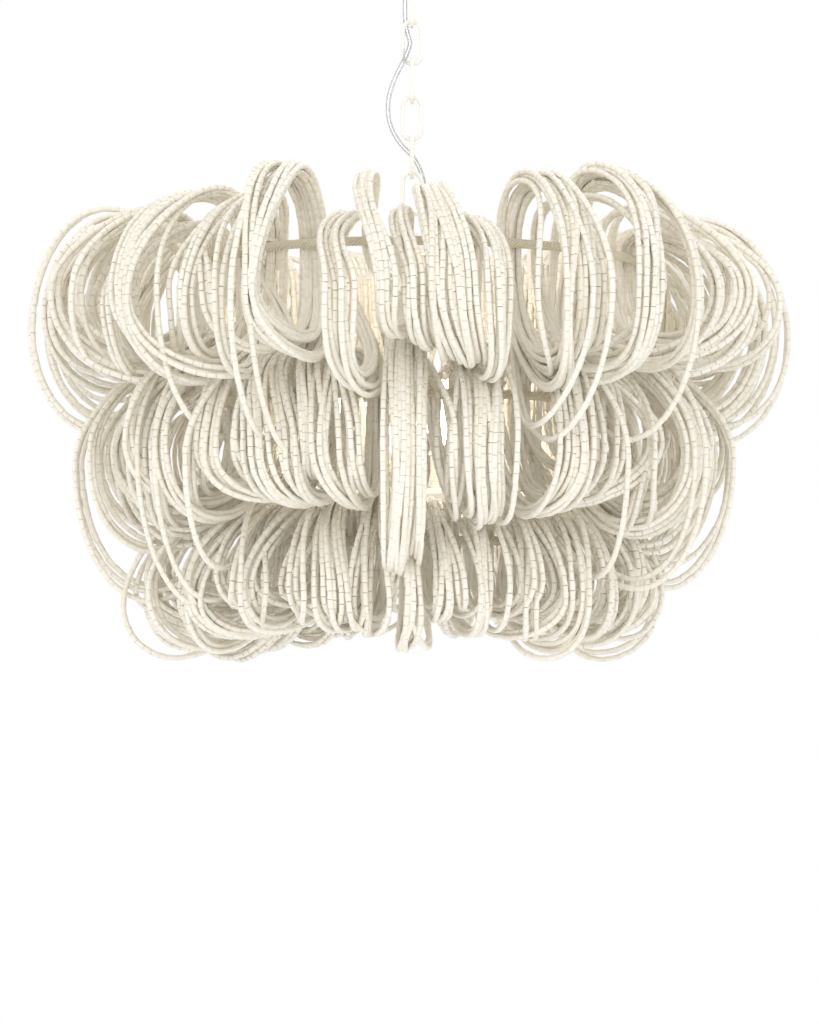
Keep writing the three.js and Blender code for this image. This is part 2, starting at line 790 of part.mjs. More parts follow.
function makeHolder(index) {
  const at = lampPlace(index);
  const bore = bulbCapDiameter / 2 + bulbCapClearance;
  const top = lampSeat + holderHeight;
  const holder = spun(
    [
      [0, lampSeat],
      [holderDiameter / 2, lampSeat],
      [holderDiameter / 2, top - holderRimHeight],
      [holderRim / 2, top - holderRimHeight],
      [holderRim / 2, top],
      [bore, top],
      [bore, lampSeat + holderFloor],
      [0, lampSeat + holderFloor],
    ],
    16,
  );
  place(`lampholder_${index + 1}`, holder.translate(at.x, at.y, 0), holderPlastic);
}

function makeBulb(index) {
  const at = lampPlace(index);
  const capBottom = lampSeat + holderFloor + seat;
  const glassBottom = capBottom + bulbCapLength;
  const cap = bulbCapDiameter / 2;
  const radius = bulbDiameter / 2;
  const shoulder = glassBottom + bulbLength * bulbShoulderShare;
  const steps = 4;
  const lower = [];
  const upper = [];
  for (let i = 0; i <= steps; i++) {
    const share = i / steps;
    const swell = (1 - Math.cos(share * Math.PI)) / 2;
    lower.push([cap + (radius - cap) * swell, glassBottom + (shoulder - glassBottom) * share]);
  }
  for (let i = 1; i < steps; i++) {
    const angle = (i / steps) * (Math.PI / 2);
    const above = glassBottom + bulbLength - shoulder;
    upper.push([radius * Math.cos(angle), shoulder + above * Math.sin(angle)]);
  }
  const profile = [[0, capBottom], [cap, capBottom], ...lower, ...upper, [0, glassBottom + bulbLength]];
  place(`bulb_${index + 1}`, spun(profile, 16).translate(at.x, at.y, 0), frostedGlass);
}

// The assembly

makeCrossbar();
makeBoxScrew('box_screw_left', -1);
makeBoxScrew('box_screw_right', 1);
makeCanopy();
makeCollarNut();
makeScrewLoop();
for (let i = 0; i < linkCount; i++) makeLink(i);
makeLead();
makeHubLoop();
makeHubBlock();
makeBushing();
makeStem();
makeSpacer('upper_spacer', middleTier.hubTop, topTier.hubBottom);
makeSpacer('middle_spacer', clusterTop, middleTier.hubBottom);
makeSpacer('lower_spacer', bottomTier.hubTop, clusterBottom);
makeFinial();
makeCluster();
for (let i = 0; i < lampCount; i++) {
  makeHolder(i);
  makeBulb(i);
}
for (const tier of tiers) {
  makeSpider(tier);
  makeRing(tier);
  const pairs = skeinAzimuths[tier.name].length / 2;
  for (let i = 0; i < pairs; i++) makeSkeinPair(tier, i);
}
console.log(`least gap of a skein to itself ${Math.min(...gaps).toFixed(2)} mm`);

export default chandelier;
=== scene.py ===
"""Beaded chandelier: strands of tube beads, twine-bound rings, painted chain, clear lead, lamps, a studio."""

import functools
import json
import math

import bmesh
import bpy
import numpy as np
from bpy.props import FloatProperty, FloatVectorProperty, IntProperty, PointerProperty
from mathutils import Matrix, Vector


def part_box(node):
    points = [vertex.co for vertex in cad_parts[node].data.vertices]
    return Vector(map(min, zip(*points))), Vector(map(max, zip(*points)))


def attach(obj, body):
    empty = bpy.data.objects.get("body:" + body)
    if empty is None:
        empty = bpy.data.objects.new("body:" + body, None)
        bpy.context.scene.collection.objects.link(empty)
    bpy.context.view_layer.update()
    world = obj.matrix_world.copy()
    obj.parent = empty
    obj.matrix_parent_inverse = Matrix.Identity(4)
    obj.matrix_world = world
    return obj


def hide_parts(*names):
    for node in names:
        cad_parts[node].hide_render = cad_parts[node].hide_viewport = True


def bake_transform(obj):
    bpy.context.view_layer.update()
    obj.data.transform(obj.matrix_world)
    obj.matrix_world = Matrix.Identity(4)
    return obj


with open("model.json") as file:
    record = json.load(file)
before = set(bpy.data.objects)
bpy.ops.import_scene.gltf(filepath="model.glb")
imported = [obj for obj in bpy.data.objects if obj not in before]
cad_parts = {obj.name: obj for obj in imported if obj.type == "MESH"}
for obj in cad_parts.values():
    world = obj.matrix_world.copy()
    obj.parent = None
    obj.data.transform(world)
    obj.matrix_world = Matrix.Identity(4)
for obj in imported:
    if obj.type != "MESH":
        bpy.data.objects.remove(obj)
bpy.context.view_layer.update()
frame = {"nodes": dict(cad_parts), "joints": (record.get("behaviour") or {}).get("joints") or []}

bl_info = {
    "name": "Beaded Chandelier",
    "version": (1, 0, 0),
    "blender": (4, 5, 0),
    "location": "3D View > Sidebar > Chandelier",
    "description": "Makes the beads, rings, chain, lead, lamps and stage of a tiered bead chandelier",
    "category": "Add Mesh",
}

MM = 0.001
FULL_TURN = 2 * math.pi
SOFT_EDGE = math.radians(32)  # a turned edge is smooth up to this angle between its faces
TIERS = ("top", "middle", "bottom")


# Sizes and colours


def a_length(name, description, default):
    return FloatProperty(name=name, description=description, default=default, unit="LENGTH")


def a_colour(name, description, default):
    return FloatVectorProperty(name=name, description=description, default=default, subtype="COLOR")


def a_count(name, description, default, least=1):
    return IntProperty(name=name, description=description, default=default, min=least)


class BeadSettings(bpy.types.PropertyGroup):
    """The tube beads and the strands that they are threaded on"""

    length: a_length("Bead Length", "Mean length of a tube bead", 9.4 * MM)
    diameter: a_length("Bead Diameter", "Outside of one tube bead", 5.6 * MM)
    unevenness: FloatProperty(
        name="Unevenness", description="How much the beads' lengths differ", default=0.45, subtype="FACTOR"
    )
    strands: a_count("Strands", "Strands in a skein of the sides and back", 18)
    between: a_count("Strands Between", "Strands between two skeins", 8)
    seed: IntProperty(name="Seed", description="Seed of the strands' unevenness", default=11)
    paint: a_colour("Paint", "Colour of the beads' paint", (0.94, 0.905, 0.82))
    thread: a_colour("Thread", "Colour that shows between beads", (0.4, 0.33, 0.24))


class RingSettings(bpy.types.PropertyGroup):
    """The rings and the twine wound on them"""

    twine: a_length("Twine", "Thickness of the twine", 2.4 * MM)
    rod: a_length("Rod", "Thickness of the ring with its twine", 9 * MM)
    starts: a_count("Starts", "Twines that are wound side by side", 7)
    advance: a_length("Advance", "Length of ring that one turn covers", 24 * MM)
    colour: a_colour("Twine Colour", "Colour of the twine", (0.86, 0.79, 0.64))


class MetalSettings(bpy.types.PropertyGroup):
    """The painted and the plain metal"""

    wire: a_length("Wire", "Thickness of a link's wire", 4.5 * MM)
    paint: a_colour("Paint", "Colour of the painted metal", (0.94, 0.925, 0.88))
    steel: a_colour("Steel", "Colour of the plain steel", (0.58, 0.58, 0.56))


class LeadSettings(bpy.types.PropertyGroup):
    """The clear twin lead"""

    width: a_length("Width", "Width across both cores", 4.8 * MM)
    core: a_length("Core", "Thickness of one stranded core", 1.3 * MM)


class LampSettings(bpy.types.PropertyGroup):
    """The lampholders and bulbs"""

    sides: a_count("Sides", "Steps round a turned part", 48, 12)
    glass: a_colour("Glass", "Colour of the frosted glass", (0.9, 0.88, 0.82))
    glow: a_colour("Glow", "Colour of the lit glass", (1, 0.9, 0.76))
    brightness: FloatProperty(
        name="Brightness", description="How strongly the lit glass glows", default=13.0, min=0
    )


class StageSettings(bpy.types.PropertyGroup):
    """The camera, lamps and floor"""

    distance: a_length("Distance", "From the camera to the stem", 2.6)
    eye: a_length("Eye Height", "Height of the camera", -0.6664)
    floor: a_length("Floor", "Height of the floor", -2.3)
    pale: a_colour("Backdrop", "Colour of floor and backdrop", (0.9, 0.9, 0.9))


SETTINGS = {
    "chandelier_beads": BeadSettings,
    "chandelier_rings": RingSettings,
    "chandelier_metal": MetalSettings,
    "chandelier_lead": LeadSettings,
    "chandelier_lamps": LampSettings,
    "chandelier_stage": StageSettings,
}


def look(group):
    """The settings of one group."""
    return getattr(bpy.context.scene, f"chandelier_{group}")


# Node sums


def both_ways(operation):
    """An operator and its reflected form, which add a Math node."""
    return (
        lambda self, term: self.sum(operation, self, term),
        lambda self, term: self.sum(operation, term, self),
    )


class Socket:
    """One output socket, with the sums that can be written on it."""

    __add__, __radd__ = both_ways("ADD")
    __sub__, __rsub__ = both_ways("SUBTRACT")
    __mul__, __rmul__ = both_ways("MULTIPLY")
    __truediv__, __rtruediv__ = both_ways("DIVIDE")

    def __init__(self, nodes, socket):
        self.nodes, self.socket = nodes, socket

    def sum(self, operation, *terms):
        return self.nodes.add("ShaderNodeMath", {"operation": operation}, dict(enumerate(terms)))

    def through(self, operation):
        return self.sum(operation, self)

    def clamped(self):
        return self.nodes.add("ShaderNodeClamp", {}, {0: self})

    def other(self, name):
        """Another output of the same node."""
        return Socket(self.nodes, self.socket.node.outputs[name])


class Nodes:
    """A node tree that is written as expressions."""

    def __init__(self, tree):
        self.tree = tree

    def add(self, kind, settings=None, values=None, out=0, **named):
        """Makes one node: its settings first, then its sockets' values or links. Returns its output."""
        node = self.tree.nodes.new(kind)
        for name, value in (settings or {}).items():
            if name == "captures":
                for label, sort in value.items():
                    node.capture_items.new(sort, label)
            else:
                setattr(node, name, value)
        for name, value in (values or {}).items():
            self.put(node.inputs[name], value)
        for name, value in named.items():
            self.put(node.inputs[name.replace("_", " ")], value)
        return Socket(self, node.outputs[out]) if node.outputs else node

    def put(self, target, value):
        if isinstance(value, Socket):
            self.tree.links.new(value.socket, target)
        elif target.type == "RGBA" and len(value) == 3:
            target.default_value = (*value, 1)
        else:
            target.default_value = value

    def mixed(self, share, first, second):
        """A colour between two colours."""
        return self.add("ShaderNodeMix", {"data_type": "RGBA"}, {0: share, 6: first, 7: second}, out=2)

    def noise(self, scale, detail, roughness):
        place = self.add("ShaderNodeTexCoord", out="Object")
        return self.add("ShaderNodeTexNoise", Vector=place, Scale=scale, Detail=detail, Roughness=roughness)

    def bump(self, height, strength, distance=0.2 * MM):
        return self.add("ShaderNodeBump", Strength=strength, Distance=distance, Height=height)


def finish_of(name, **fixed):
    """A new material with one Principled shader. Returns the material, its nodes and a setter."""
    finish = bpy.data.materials.new(name)
    finish.use_nodes = True
    nodes = Nodes(finish.node_tree)
    shader = finish.node_tree.nodes["Principled BSDF"]

    def put(**values):
        for key, value in values.items():
            nodes.put(shader.inputs[key.replace("_", " ")], value)

    put(**fixed)
    return finish, nodes, put


def clouded(name, cloud, dull, bright, roughness, grain=None, strength=0.0, **fixed):
    """A finish whose colour and roughness follow one noise, with a grain as its bump."""
    finish, nodes, put = finish_of(name, **fixed)
    share = nodes.noise(*cloud)
    least, more = roughness
    put(Base_Color=nodes.mixed(share, dull, bright), Roughness=least + more * share)
    if grain:
        put(Normal=nodes.bump(nodes.noise(*grain), strength))
    return finish, nodes, put, share


def darker(colour, *shares):
    """A colour times one share, or times three."""
    return tuple(c * share for c, share in zip(colour, shares * 3 if len(shares) == 1 else shares))


@functools.cache
def material(name):
    """A finish of this object, made once."""
    return FINISHES[name]()


def painted_beads():
    paint, thread = look("beads").paint, look("beads").thread
    finish, nodes, put = finish_of("Painted Beads")
    names = ("tone", "strand", "along")
    attributes = [nodes.add("ShaderNodeAttribute", {"attribute_name": name}, out="Fac") for name in names]
    tone, strand_tone, along = attributes
    grain = nodes.noise(420, 4, 0.6)
    shade = (tone * 0.35 + strand_tone * 0.45 + nodes.noise(30, 2, 0.5) * 0.2).clamped()
    body = nodes.mixed(shade, darker(paint, 0.93, 0.91, 0.86), tuple(min(1, c * 1.03) for c in paint))
    rubbed = ((grain - 0.6) * 4).clamped() * 0.4
    warm = nodes.mixed(rubbed, body, darker(paint, 0.84, 0.77, 0.66))
    joint = (((along - 0.5).through("ABSOLUTE") - 0.468) * 80).clamped()
    partly = ((nodes.noise(230, 2, 0.6) - 0.44) * 7).clamped()
    mark = joint * (0.07 + 0.45 * partly * tone)
    deep = ((tone - 0.9) * 12).clamped() * partly
    put(Base_Color=nodes.mixed(mark, warm, nodes.mixed(deep, thread, darker(thread, 0.25))))
    put(Roughness=0.4 + 0.2 * grain, Normal=nodes.bump(grain, 0.3, 0.3 * MM))
    return finish


def wound_twine():
    colour = tuple(look("rings").colour)
    finish, nodes, put = finish_of("Wound Twine")
    fibre = nodes.noise(900, 3, 0.7)
    body = nodes.mixed(nodes.noise(60, 2, 0.5), darker(colour, 0.8), colour)
    put(Base_Color=nodes.mixed(((fibre - 0.5) * 2).clamped(), body, darker(colour, 0.6)))
    put(Roughness=0.8 + 0.15 * fibre, Normal=nodes.bump(fibre, 0.6, 0.4 * MM))
    return finish


def painted_metal():
    paint = tuple(look("metal").paint)
    finish, nodes, put = finish_of("Painted Metal")
    peel = nodes.noise(1100, 2, 0.5)
    cloud = nodes.noise(45, 3, 0.6)
    worn = ((nodes.noise(170, 5, 0.7) - 0.66) * 9).clamped()
    body = nodes.mixed(cloud, darker(paint, 0.95), paint)
    put(Base_Color=nodes.mixed(worn * 0.5, body, (0.5, 0.44, 0.35)))
    put(Roughness=0.3 + 0.12 * cloud + 0.2 * worn, Normal=nodes.bump(peel * 0.4 - worn * 0.3, 0.3, 0.3 * MM))
    return finish


def plain_steel():
    steel = tuple(look("metal").steel)
    ends = (darker(steel, 0.8), steel, (0.26, 0.2))
    return clouded("Plain Steel", (120, 4, 0.6), *ends, (1400, 2, 0.5), 0.2, Metallic=1.0)[0]


def clear_jacket():
    haze, ends = (90, 2, 0.5), ((0.84, 0.85, 0.86), (0.92, 0.93, 0.93), (0.16, 0.1))
    return clouded("Clear Jacket", haze, *ends, haze, 0.1, Transmission_Weight=0.85, IOR=1.45)[0]


def silver_core():
    ends = ((0.66, 0.67, 0.68), (0.88, 0.89, 0.9), (0.25, 0.2))
    return clouded("Silver Core", (700, 3, 0.6), *ends, Metallic=1.0)[0]


def moulded_plastic():
    ends = ((0.78, 0.75, 0.66), (0.84, 0.81, 0.73), (0.36, 0.14))
    return clouded("Moulded Plastic", (90, 3, 0.6), *ends, (1600, 2, 0.5), 0.25)[0]


def frosted_glass():
    lamps, frost = look("lamps"), (500, 4, 0.7)
    glass, glow = tuple(lamps.glass), tuple(lamps.glow)
    ends = (darker(glass, 0.95), glass, (0.3, 0.15))
    finish, nodes, put, share = clouded("Frosted Glass", frost, *ends, frost, 0.15, IOR=1.45)
    put(Emission_Color=nodes.mixed(share, darker(glow, 0.9), glow), Emission_Strength=lamps.brightness)
    return finish


FINISHES = {
    "beads": painted_beads,
    "twine": wound_twine,
    "painted_metal": painted_metal,
    "plain_steel": plain_steel,
    "clear_lead": clear_jacket,
    "silver": silver_core,
    "holder_plastic": moulded_plastic,
    "frosted_glass": frosted_glass,
}


# Helpers for pieces


def object_of(name, mesh):
    made = bpy.data.objects.new(name, mesh)
    bpy.context.scene.collection.objects.link(made)
    return made


def built(name, work):
    """Ends a bmesh as an object."""
    mesh = bpy.data.meshes.new(name)
    work.to_mesh(mesh)
    work.free()
    return object_of(name, mesh)


def painted(piece, finish):
    piece.data.materials.clear()
    piece.data.materials.append(material(finish))
    return piece


def hand_over(piece, body, node):
    """The piece rides on a body and stands for a CAD node, which it hides."""
    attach(piece, body)
    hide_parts(node)


def grown(tree, name, inputs, base=None):
    """Runs a Geometry Nodes tree on an object and returns its result as a plain mesh object."""
    base = base or object_of("base", bpy.data.meshes.new("base"))
    modifier = base.modifiers.new("Made", "NODES")
    modifier.node_group = tree
    for item in tree.interface.items_tree:
        if item.item_type == "SOCKET" and item.in_out == "INPUT" and item.name in inputs:
            modifier[item.identifier] = inputs[item.name]
    shown = base.evaluated_get(bpy.context.evaluated_depsgraph_get())
    mesh = bpy.data.meshes.new_from_object(shown)
    mesh.name = name
    base.modifiers.remove(modifier)
    bpy.data.objects.remove(base)
    return object_of(name, mesh)


def tree_of(name, **sockets):
    """A Geometry Nodes tree with these inputs, listed by kind. Returns the tree, its nodes and its inputs."""
    tree = bpy.data.node_groups.new(name, "GeometryNodeTree")
    for way in ("INPUT", "OUTPUT"):
        tree.interface.new_socket("Geometry", in_out=way, socket_type="NodeSocketGeometry")
    for kind, labels in sockets.items():
        for label in labels:
            tree.interface.new_socket(label, in_out="INPUT", socket_type=f"NodeSocket{kind}")
    nodes = Nodes(tree)
    given = tree.nodes.new("NodeGroupInput")
    return tree, nodes, lambda label: Socket(nodes, given.outputs[label])


def swept(nodes, line, sides, thick):
    """A smooth round rod along a curve."""
    section = nodes.add("GeometryNodeCurvePrimitiveCircle", Resolution=sides, Radius=thick / 2)
    rod = nodes.add("GeometryNodeCurveToMesh", Curve=line, Profile_Curve=section)
    return nodes.add("GeometryNodeSetShadeSmooth", Geometry=rod)


def ended(nodes, geometry, finish):
    """Realize, give the finish and send the geometry out."""
    geometry = nodes.add("GeometryNodeRealizeInstances", Geometry=geometry)
    geometry = nodes.add("GeometryNodeSetMaterial", Geometry=geometry, Material=finish)
    nodes.add("NodeGroupOutput", {}, {0: geometry})


def round_row(work, radius, height, sides, ribs=0, rib_depth=0.0):
    """A row of points round the Z axis, or one point on it."""
    row = []
    for i in range(sides if radius else 1):
        angle = FULL_TURN * i / sides
        r = radius - rib_depth * (i * ribs * 2 // sides % 2)
        row.append(work.verts.new((r * math.cos(angle), r * math.sin(angle), height)))
    return row


def joined(work, rows, ring=False):
    """Faces from row to row of points, and for a ring from the last row to the first."""
    for low, high in zip(rows, rows[1:] + rows[:1] * ring):
        sides = max(len(low), len(high))
        for i in range(sides):
            j = (i + 1) % sides
            corners = [low[i % len(low)], low[j % len(low)], high[j % len(high)], high[i % len(high)]]
            corners = list(dict.fromkeys(corners))
            if len(corners) > 2:
                work.faces.new(corners)


def turned(name, profile, place, body, node, finish="painted_metal", sides=48, **ribs):
    """A piece turned from (radius, height) points in mm. A profile that starts and ends off the axis closes on
    itself."""
    work = bmesh.new()
    rows = [round_row(work, radius * MM, height * MM, sides, **ribs) for radius, height in profile]
    joined(work, rows, len(rows[0]) > 1 and len(rows[-1]) > 1)
    bmesh.ops.recalc_face_normals(work, faces=work.faces)
    for face in work.faces:
        face.smooth = True
    for edge in work.edges:
        edge.smooth = edge.calc_face_angle(0) < SOFT_EDGE
    bmesh.ops.translate(work, verts=work.verts, vec=place)
    hand_over(painted(built(name, work), finish), body, node)


def foot_of(node):
    """The middle of a node's foot, and its radius and height in mm."""
    low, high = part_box(node)
    place = Vector(((low.x + high.x) / 2, (low.y + high.y) / 2, low.z))
    return place, (high.x - low.x) / 2 / MM, (high.z - low.z) / MM


def arc(centre, radius, start, stop, steps):
    """Points of an arc in a turned profile, in degrees."""
    angles = [math.radians(start + (stop - start) * i / steps) for i in range(steps + 1)]
    return [(centre[0] + radius * math.cos(a), centre[1] + radius * math.sin(a)) for a in angles]


# Beads

SHAPES = {  # how far a tier's loops reach from the stem, and above and below their ring, in mm
    "top": (381, 58, 142),
    "middle": (331, 50, 134),
    "bottom": (282, 44, 126),
}
DRAWN_IN = 1.3  # how closely a loop is drawn in by its tie
# the same for the upper half of those loops of SHOWN that are fuller there, by tier and azimuth
FULLER = {("top", -90): 0.6, ("top", -66): 0.9, ("top", -27): 0.9, ("top", 94): 0.75}
# between these azimuths the bottom tier keeps this share of its drop, so that it doesn't show below the front
BACK, BACK_DROP = (135, 230), 0.8
TIED_ASIDE = {("top", -27): 30}  # how far aside from its azimuth a loop of SHOWN is tied
LOOP_POINTS = 44
SAG = 60  # how far the outer side of a full loop sinks below its ring
SEAT_GAP = 3.2  # from the ring's inner side to the middle of the nearest strand
WOBBLE = 2.4  # how far a strand strays from its even loop
PITCH = 1.04  # from strand to strand of a group, in bead diameters
LAYER = 4.5  # from layer to layer of a group, where it is tied
STRAY_SWAY = (24, 44, 54)  # how far tops, outer sides and bottoms of the loosest groups stray
AZIMUTHS = {
    "top": [-90, -66, -45, -27, -10, 6, 24, 46, 69, 94, 119, 144, 169, 194, 219, 244],
    "middle": [-78, -55.5, -36, -18.5, -2, 15, 35, 57.5, 81.5, 106.5, 131.5, 156.5, 181.5, 206.5, 231.5, 257],
    "bottom": [-90, -66, -45, -27, -10.5, 7.5, 25, 46, 69, 94, 119, 144, 169, 194, 219, 244],
}
# reach, rise and drop of the left and right turns of the skeins that aren't in SHOWN, as shares of the tier's
TURNS = {
    "top": {
        119: ((0.9, 0.8, 0.9), (0.9, 0.85, 0.9)), 144: ((0.85, 0.8, 0.8), (0.9, 0.85, 0.9)),
        169: ((0.85, 0.9, 0.8), (1, 0.8, 0.9)), 194: ((1, 0.85, 0.9), (0.9, 0.8, 0.85)),
        219: ((0.8, 0.75, 0.8), (0.8, 0.75, 0.8)), 244: ((0.9, 0.95, 0.9), (0.8, 0.85, 0.8)),
    },
    "middle": {
        106.5: ((0.9, 0.8, 0.8), (0.9, 0.9, 0.85)), 131.5: ((0.9, 0.8, 0.9), (0.9, 0.8, 0.9)),
        156.5: ((0.9, 0.8, 0.8), (0.9, 0.8, 0.85)), 181.5: ((0.9, 0.95, 0.9), (0.9, 0.9, 0.9)),
        206.5: ((0.9, 0.85, 0.8), (0.9, 0.75, 0.85)), 231.5: ((0.8, 0.85, 0.8), (0.85, 0.9, 0.85)),
        257: ((0.8, 0.8, 0.8), (0.85, 0.8, 0.85)),
    },
    "bottom": {
        119: ((0.8, 0.9, 0.8), (0.8, 0.9, 0.85)), 144: ((0.9, 0.9, 1), (0.9, 0.9, 0.9)),
        169: ((0.9, 0.9, 0.9), (0.9, 1, 0.9)), 194: ((0.9, 0.9, 0.9), (0.85, 0.9, 0.9)),
        219: ((0.9, 0.95, 0.9), (0.95, 1.05, 1)), 244: ((0.95, 0.9, 0.85), (0.9, 0.8, 0.9)),
    },
}  # fmt: skip
# skeins that show from the front, and those between them, by azimuth: strands, reach as a share, rise, drop,
# how far their tops, outer sides and bottoms lie aside from the azimuth, spread and looseness
SHOWN = {
    "top": {
        -90: (19, 0.985, 54, 136, 0, 4, -6, 42, 0.5), -78: (8, 0.92, 44, 124, 0, 0, 0, 30, 0.4),
        -66: (17, 0.93, 28, 138, -4, 0, 5, 44, 0.52), -55.5: (8, 0.92, 30, 122, 0, 10, 10, 30, 0.4),
        -45: (15, 0.97, 52, 132, -8, 22, 34, 36, 0.38), -27: (17, 0.98, 69, 108, -3, -4, 15, 21, 0.13),
        -18.5: (9, 1, 17, 138, 26, 54, 52, 13, 0.07), -10: (8, 1, 57, 92, 5, 37, 41, 4, 0.05),
        -2: (7, 1, 22, 110, 0, 13, 25, 13, 0.05), 6: (15, 1, 44, 118, -14, -10, 15, 21, 0.07),
        15: (9, 0.98, 14, 128, -14, -21, -6, 14, 0.07), 24: (17, 0.98, 58, 132, 6, -12, 8, 28, 0.14),
        46: (16, 0.97, 76, 136, -10, -36, -25, 34, 0.26), 69: (16, 0.96, 26, 140, -5, -12, -8, 44, 0.5),
        81.5: (8, 0.92, 32, 124, 0, 0, 0, 30, 0.4), 94: (19, 1, 41, 160, 0, 0, 4, 44, 0.45),
    },
    "middle": {
        -78: (18, 1, 44, 156, 0, 5, 5, 42, 0.42), -55.5: (17, 1, 50, 128, 8, 20, 10, 36, 0.4),
        -36: (12, 0.94, 48, 100, 0, 10, 10, 26, 0.3), -27.25: (14, 0.97, 44, 106, -16, 22, 32, 24, 0.12),
        -18.5: (10, 0.95, 53, 82, -18, 8, -5, 16, 0.09), -10.25: (9, 0.95, 40, 108, -30, -8, 2, 13, 0.09),
        -2: (17, 1, 56, 166, 4, 6, -1, 21, 0.05), 6.5: (5, 0.93, 20, 108, 0, 0, 5, 10, 0.2),
        15: (17, 0.97, 44, 122, -9, -20, -5, 27, 0.09), 25: (12, 0.97, 54, 112, 30, 16, 12, 20, 0.12),
        35: (13, 0.93, 46, 110, 8, -4, 0, 28, 0.3), 57.5: (14, 0.98, 50, 132, 0, -6, 0, 38, 0.4),
        81.5: (18, 0.9, 44, 160, -4, 0, 4, 42, 0.42),
    },
    "bottom": {
        -90: (16, 1, 40, 100, 0, 4, 0, 42, 0.5), -78: (8, 0.92, 36, 92, 0, 0, 0, 30, 0.4),
        -66: (14, 0.98, 42, 106, 0, 5, 8, 38, 0.45), -55.5: (8, 0.9, 36, 94, 0, 8, 6, 30, 0.4),
        -45: (14, 0.96, 44, 86, 0, 8, 8, 34, 0.35), -36: (8, 0.9, 38, 74, 0, 6, 4, 26, 0.35),
        -27: (11, 0.95, 42, 76, 0, 10, 8, 22, 0.25), -18.75: (9, 0.97, 42, 74, -4, 14, 10, 12, 0.1),
        -10.5: (9, 0.95, 50, 84, 0, 4, -2, 14, 0.14), -1.5: (8, 0.95, 40, 97, 0, 6, 8, 9, 0.14),
        7.5: (13, 0.97, 34, 66, -4, 0, 0, 17, 0.1), 16.25: (6, 0.95, 46, 82, 0, 0, 0, 12, 0.15),
        25: (12, 0.95, 46, 84, 0, -5, 0, 22, 0.25), 35.5: (8, 0.9, 38, 76, 0, -6, -4, 26, 0.35),
        46: (14, 0.95, 42, 98, -10, -26, -18, 32, 0.35), 57.5: (8, 0.84, 36, 92, 0, -8, -6, 30, 0.4),
        69: (15, 0.8, 40, 90, -4, -14, -10, 38, 0.45), 81.5: (8, 0.74, 36, 78, 0, 0, 0, 30, 0.4),
        94: (16, 0.75, 40, 82, 0, 0, 4, 40, 0.5),
    },
}  # fmt: skip
# single strands that stray: azimuth, reach, rise, drop, lean, twist
STRAYS = {
    "top": [
        (-90, 381, 58, 164, 0.02, 0.0), (-90, 378, 57, 157, -0.05, 0.04), (-45, 350, 48, 176, -0.16, 0.2),
        (-27, 374, 58, 180, 0.02, -0.05), (-27, 360, 50, 196, -0.12, 0.1), (24, 372, 58, 182, 0.08, 0.1),
        (24, 366, 56, 170, 0.14, 0.16), (46, 372, 64, 178, 0.12, -0.1), (94, 382, 48, 170, -0.1, 0.1),
        (94, 381, 44, 154, 0.05, -0.04), (94, 372, 42, 160, -0.06, 0.1), (94, 366, 45, 148, 0.08, -0.1),
    ],
    "middle": [
        (-78, 336, 44, 190, 0.02, 0.1), (-78, 333, 46, 182, -0.04, 0.0), (-78, 328, 40, 176, 0.06, -0.1),
        (-55.5, 318, 62, 196, -0.06, 0.1), (-55.5, 312, 58, 190, -0.04, 0.12),
        (-36, 330, 44, 160, 0.16, -0.1), (35, 334, 48, 168, -0.12, 0.1), (57.5, 330, 60, 178, 0.06, -0.16),
        (57.5, 322, 52, 170, 0.0, -0.1), (81.5, 320, 40, 180, 0.06, -0.1), (81.5, 314, 44, 172, -0.05, 0.1),
        (81.5, 316, 36, 156, 0.12, 0.0),
    ],
    "bottom": [
        (-66, 284, 50, 108, 0.16, -0.3), (-45, 276, 60, 78, -0.2, 0.3), (-27, 276, 50, 66, 0.1, 0.3),
        (46, 272, 54, 106, 0.16, -0.3), (69, 252, 44, 92, -0.16, 0.2),
    ],
}  # fmt: skip


def ring_of(tier):
    """Radius and height of a tier's ring."""
    low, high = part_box(f"{tier}_ring")
    return high.x - look("rings").rod / 2, (low.z + high.z) / 2


def strand(tier, azimuth, reach, rise, drop, rng, aside=0.0, root=0.0, sway=(0, 0, 0), tilt=0.0, depth=0.0):
    """The points of one strand's loop. aside and root are its offset where it fans out and where it is tied,
    and sway is how far its top, outer side and bottom are moved aside."""
    ring, height = ring_of(tier)
    angle = (np.arange(LOOP_POINTS) + rng.uniform(0, LOOP_POINTS)) * FULL_TURN / LOOP_POINTS
    sine, fan = np.sin(angle), (1 - np.cos(angle)) / 2
    seat = (ring - look("rings").rod / 2) / MM - SEAT_GAP - depth
    sag = SAG * (reach - seat) / (SHAPES[tier][0] - seat)
    out = (reach - seat) * fan ** np.where(sine > 0, FULLER.get((tier, azimuth), DRAWN_IN), DRAWN_IN)
    up = np.where(sine > 0, rise + sag / 2, drop - sag / 2) * sine - sag * fan
    side = root + (aside - root) * fan
    top, outer, low = sway
    side += top * np.maximum(0, sine) ** 2 + low * np.maximum(0, -sine) ** 2
    side += outer * fan * np.cos(angle) ** 2

    def wave(order, size):
        return rng.normal(0, size / order) * fan * np.sin(order * angle + rng.uniform(0, 6.28))

    for order in (1, 2, 3):
        side += wave(order, WOBBLE)
        up += wave(order, 0.8 * WOBBLE)
    out, up = out * math.cos(tilt) - up * math.sin(tilt) * fan, up + out * math.sin(tilt)
    sine, cosine, out = math.sin(math.radians(azimuth)), math.cos(math.radians(azimuth)), seat + out
    return np.column_stack([out * sine + side * cosine, side * sine - out * cosine, up + height / MM]) * MM


